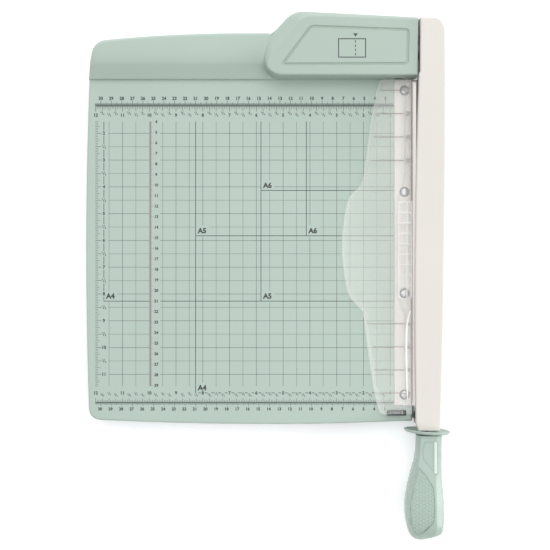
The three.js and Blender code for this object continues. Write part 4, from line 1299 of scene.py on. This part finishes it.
class Print:
    """Thin printed marks in one ink, all in one piece."""

    def __init__(self, lift=0.0):
        self.skin = Skin()
        self.lift = lift

    def bar(self, x0, x1, y0, y1):
        self.skin.box(min(x0, x1), max(x0, x1), min(y0, y1), max(y0, y1), PRINT_LOW,
                      PRINT_HIGH + self.lift)

    def down(self, x, y0, y1, wide, gaps=()):
        for a, b in broken(y0, y1, gaps):
            self.bar(x - wide / 2, x + wide / 2, a, b)

    def across(self, y, x0, x1, wide, gaps=()):
        for a, b in broken(x0, x1, gaps):
            self.bar(a, b, y - wide / 2, y + wide / 2)

    def words(self, text, x, y, tall):
        points, faces = lettering(text)
        first = len(self.skin.points)
        self.skin.points += [Vector((x + p.x * tall, y + p.y * tall,
                                     PRINT_LOW if p.z < 0 else PRINT_HIGH + self.lift))
                             for p in points]
        self.skin.faces += [tuple(i + first for i in face) for face in faces]

    def fraction(self, text, x, y, tall):
        """A small slanted fraction: its top number up on the left, its lower down on the right."""
        over, under = text.split("/")
        self.words(over, x - tall * 0.55, y + tall * 0.38, tall * 0.62)
        self.words("/", x, y, tall * 1.1)
        self.words(under, x + tall * 0.55, y - tall * 0.38, tall * 0.62)

    def finish(self, name, material):
        self.skin.piece(name, "base", material)


def broken(start, end, gaps):
    """What is left of a line once the gaps are taken out."""
    low, high = sorted((start, end))
    runs = []
    for a, b in sorted(gaps):
        if a > low:
            runs.append((low, min(a, high)))
        low = max(low, b)
    return [(a, b) for a, b in [*runs, (low, high)] if b - a > 0.05]


known_words = {}


def lettering(text):
    """Closed letters one unit tall, centred on the origin."""
    if text not in known_words:
        curve = bpy.data.curves.new("letters", "FONT")
        curve.body, curve.extrude, curve.resolution_u = text, 0.01, 3
        curve.offset = 0.045
        curve.align_x, curve.align_y = "CENTER", "CENTER"
        shown = placed("letters", curve)
        shape = bpy.data.meshes.new_from_object(
            shown.evaluated_get(bpy.context.evaluated_depsgraph_get()))
        tidy = bmesh.new()
        tidy.from_mesh(shape)
        bmesh.ops.remove_doubles(tidy, verts=tidy.verts, dist=1e-4)
        tidy.verts.ensure_lookup_table()
        tall = 0.72
        known_words[text] = ([v.co / tall for v in tidy.verts],
                             [tuple(v.index for v in face.verts) for face in tidy.faces])
        tidy.free()
        bpy.data.objects.remove(shown)
        bpy.data.curves.remove(curve)
        bpy.data.meshes.remove(shape)
    return known_words[text]


def rulers(dark, pale):
    """The centimetre and inch rulers across the back and the front of the board."""
    for cm in range(3, 31):
        dark.words(str(cm), -10 * cm, TOP_RULE + 7.1, 3.0)
        dark.words(str(cm), -10 * cm - 0.7, BOTTOM_RULE - 6.2, 2.8)
    for half_cm in range(5, 61):
        reach = 5.0 if half_cm % 2 == 0 else 3.4
        dark.down(-5 * half_cm, TOP_RULE, TOP_RULE + reach, 0.42)
        dark.down(-5 * half_cm, BOTTOM_RULE, BOTTOM_RULE - reach * 0.66, 0.38)
    for mm in range(23, 306):
        pale.down(-mm, TOP_RULE + 0.4, TOP_RULE + 2.4, 0.74)
        pale.down(-mm, BOTTOM_RULE, BOTTOM_RULE - 1.8, 0.5)
    for eighth in range(14, 193):
        x = -INCH * eighth / 16
        reach = 5.2 if eighth % 16 == 0 else 4.6 if eighth % 4 == 0 else 2.8
        ink = dark if eighth % 4 == 0 else pale
        ink.down(x, TOP_RULE, TOP_RULE - reach, 0.42)
        ink.down(x, BOTTOM_RULE + 0.5, BOTTOM_RULE + 0.5 + reach * 0.7, 0.38)
    for inch in range(1, 13):
        dark.words(str(inch), -INCH * inch, TOP_RULE - 8.8, 3.0)
        dark.words(str(inch), -INCH * inch, BOTTOM_RULE + 9.0, 3.0)
        for part, text in ((0.25, "1/4"), (0.5, "1/2"), (0.75, "3/4")):
            x = -INCH * (inch - 1 + part)
            if x < STRIP_EDGE:
                drop = 8.3 if part == 0.5 else 7.0
                dark.fraction(text, x, TOP_RULE - drop, 2.4)
                dark.fraction(text, x, BOTTOM_RULE + 1.2 + drop * 0.85, 2.2)
    dark.across(TOP_RULE, -305, STRIP_EDGE, 0.9)
    dark.across(BOTTOM_RULE + 0.2, -305, STRIP_EDGE, 0.8)


def side_rulers(dark, pale, brown):
    """The inch ruler down the board's left side, and the centimetre ruler further in."""
    for sixteenth in range(25, 184):
        y = -INCH * sixteenth / 16
        reach = 6.0 if sixteenth % 8 == 0 else 4.2 if sixteenth % 4 == 0 else 2.6
        ink = dark if sixteenth % 8 == 0 else pale
        ink.across(y, -305.2, -305.2 + reach, 0.4)
    for inch in range(2, 12):
        dark.words(str(inch), INCH_LABEL_X, -INCH * inch, 3.0)
        if inch < 11:
            dark.fraction("1/2", INCH_LABEL_X, -INCH * (inch + 0.5), 2.6)
    brown.bar(CM_RULE_X - 1.0, CM_RULE_X + 0.9, PRINT_BACK, GRID_FRONT)
    for half_cm in range(8, 59):
        reach = 3.0 if half_cm % 2 == 0 else 2.1
        brown.across(-5 * half_cm, CM_RULE_X + 0.8, CM_RULE_X + reach, 0.3)
    for cm in range(4, 30):
        dark.words(str(cm), CM_LABEL_X, -10 * cm, 2.7)


# The corner of each paper size, as its distance from the cut and from the fence.
PAPERS = {"A6": [(105, 148), (148, 105)], "A5": [(148, 210), (210, 148)],
          "A4": [(210, 297), (297, 210)]}


def label_gaps(position, upright):
    """Where a grid line is broken to leave room round the paper sizes' names."""
    gaps = []
    for corners in PAPERS.values():
        for wide, deep in corners:
            x, y = -wide + 6.2, -deep + 4.4
            near, middle, reach = (x, y, 5.4) if upright else (y, x, 6.4)
            if abs(position - near) < (5.6 if upright else 4.0):
                gaps.append((middle - reach, middle + reach))
    return gaps


def grid(dark, pale):
    """The half-inch grid. The whole inches are darker."""
    left = -292.5
    for half_inch in range(2, 24):
        x = -INCH * half_inch / 2
        ink = dark if half_inch % 2 == 0 else pale
        if abs(x - CM_RULE_X) > 3:
            ink.down(x, PRINT_BACK, GRID_FRONT, 0.4, label_gaps(x, True))
    for half_inch in range(4, 23):
        y = -INCH * half_inch / 2
        ink = dark if half_inch % 2 == 0 else pale
        ink.across(y, left, STRIP_EDGE, 0.4, [CM_RULE_GAP, *label_gaps(y, False)])


def paper_lines(bold):
    """The outlines of the paper sizes, and their names beside their corners."""
    for away, reach in ((105, 148), (148, 210), (210, 297), (297, 210)):
        gaps, row_gaps = [], [CM_RULE_GAP]
        if away == 297:
            gaps = [(-INCH * k / 2 - 2.6, -INCH * k / 2 + 2.6) for k in range(4, 20)]
            row_gaps = [(-INCH * k / 4 - 1.9, -INCH * k / 4 + 1.9) for k in range(4, 34)]
        bold.down(-away, PRINT_BACK, -reach - 0.2, 0.62, gaps)
        bold.across(-away, -reach, STRIP_EDGE, 0.62, row_gaps)
    for name, corners in PAPERS.items():
        for wide, deep in corners:
            bold.words(name, -wide + 6.2, -deep + 4.6, 4.9)


def prints():
    dark, pale, brown, bold = Print(0.006), Print(), Print(0.003), Print(0.01)
    rulers(dark, pale)
    side_rulers(dark, pale, brown)
    dark.finish("print_rulers", INK)
    pale.finish("print_fine_ticks", PALE_INK)
    brown.finish("print_centimetre_bar", BROWN_INK)
    dark, pale = Print(0.004), Print(0.002)
    grid(dark, pale)
    dark.finish("print_inch_grid", GRID_INK)
    pale.finish("print_half_inch_grid", PALE_GRID_INK)
    paper_lines(bold)
    bold.finish("print_paper_sizes", INK)


# ---- the floor, the light and the camera -----------------------------------------------------
def floor():
    nodes = Nodes("floor")
    nodes.surface(Base_Color=(0.93, 0.93, 0.935, 1), Roughness=0.9, Specular_IOR_Level=0.1,
                  Emission_Color=(0.97, 0.97, 1.0, 1), Emission_Strength=0.2)
    mesh = bpy.data.meshes.new("floor")
    far = 25.0
    mesh.from_pydata([(-far, -far, 0), (far, -far, 0), (far, far, 0), (-far, far, 0)], [],
                     [(0, 1, 2, 3)])
    mesh.materials.append(nodes.owner)
    placed("floor", mesh)


def lamp(name, spot, aim, size, power, colour):
    light = bpy.data.lights.new(name, "AREA")
    light.shape, light.size, light.size_y = "RECTANGLE", *size
    light.energy, light.color = power, colour
    made = placed(name, light, spot)
    made.rotation_euler = (Vector(aim) - Vector(spot)).to_track_quat("-Z", "Y").to_euler()


def sky():
    """A pale sky, brightest overhead, with a broad glow behind the trimmer."""
    nodes = Nodes("studio", bpy.data.worlds.new("studio"), "Background")
    way = nodes.add("ShaderNodeTexCoord").outputs["Generated"]
    up = nodes.add("ShaderNodeSeparateXYZ", Vector=way).outputs["Z"]
    overhead = nodes.spread(nodes.math("POWER", up, 3.0), 0.26, 1.53, 0, 1)
    behind = nodes.add("ShaderNodeVectorMath", {"operation": "DOT_PRODUCT"})
    nodes.feed(behind.inputs[0], way)
    nodes.feed(behind.inputs[1], (-0.25, 0.92, 0.3))
    glow = nodes.spread(behind.outputs["Value"], 0, 0.85, 0.2, 1)
    bpy.context.scene.world = nodes.surface(Color=(0.98, 0.985, 1.0, 1),
                                            Strength=nodes.math("ADD", overhead, glow))


def stage():
    floor()
    sky()
    lamp("key", (1.1, 1.2, 2.0), (0, 0, 0), (1.4, 1.4), 9.0, (1.0, 0.985, 0.96))
    lamp("back", (-0.2, 1.7, 0.3), (0, 0.1, 0), (2.4, 0.5), 5.0, (0.92, 0.86, 1.0))
    lamp("right", (1.46, -0.5, 0.44), (0.16, -0.22, 0), (1.0, 0.4), 8.5, (1.0, 1.0, 1.0))
    camera = bpy.data.cameras.new("camera")
    camera.lens, camera.sensor_width = 70.8, 36.0
    bpy.context.scene.camera = placed("camera", camera, (0.0068, 0.0011, 1.050))
    bpy.context.scene.view_settings.view_transform = "Standard"


def main():
    finish_cad_nodes()
    for build in (base_moulding, side_ledge, pivot_housing, housing_sign, strip_screws,
                  under_screws, feet, blade_strip, finger_guard, guard_clip, arm_cover,
                  pivot_boss, moving_blade, hand_guard, handle, prints, stage):
        build()


main()
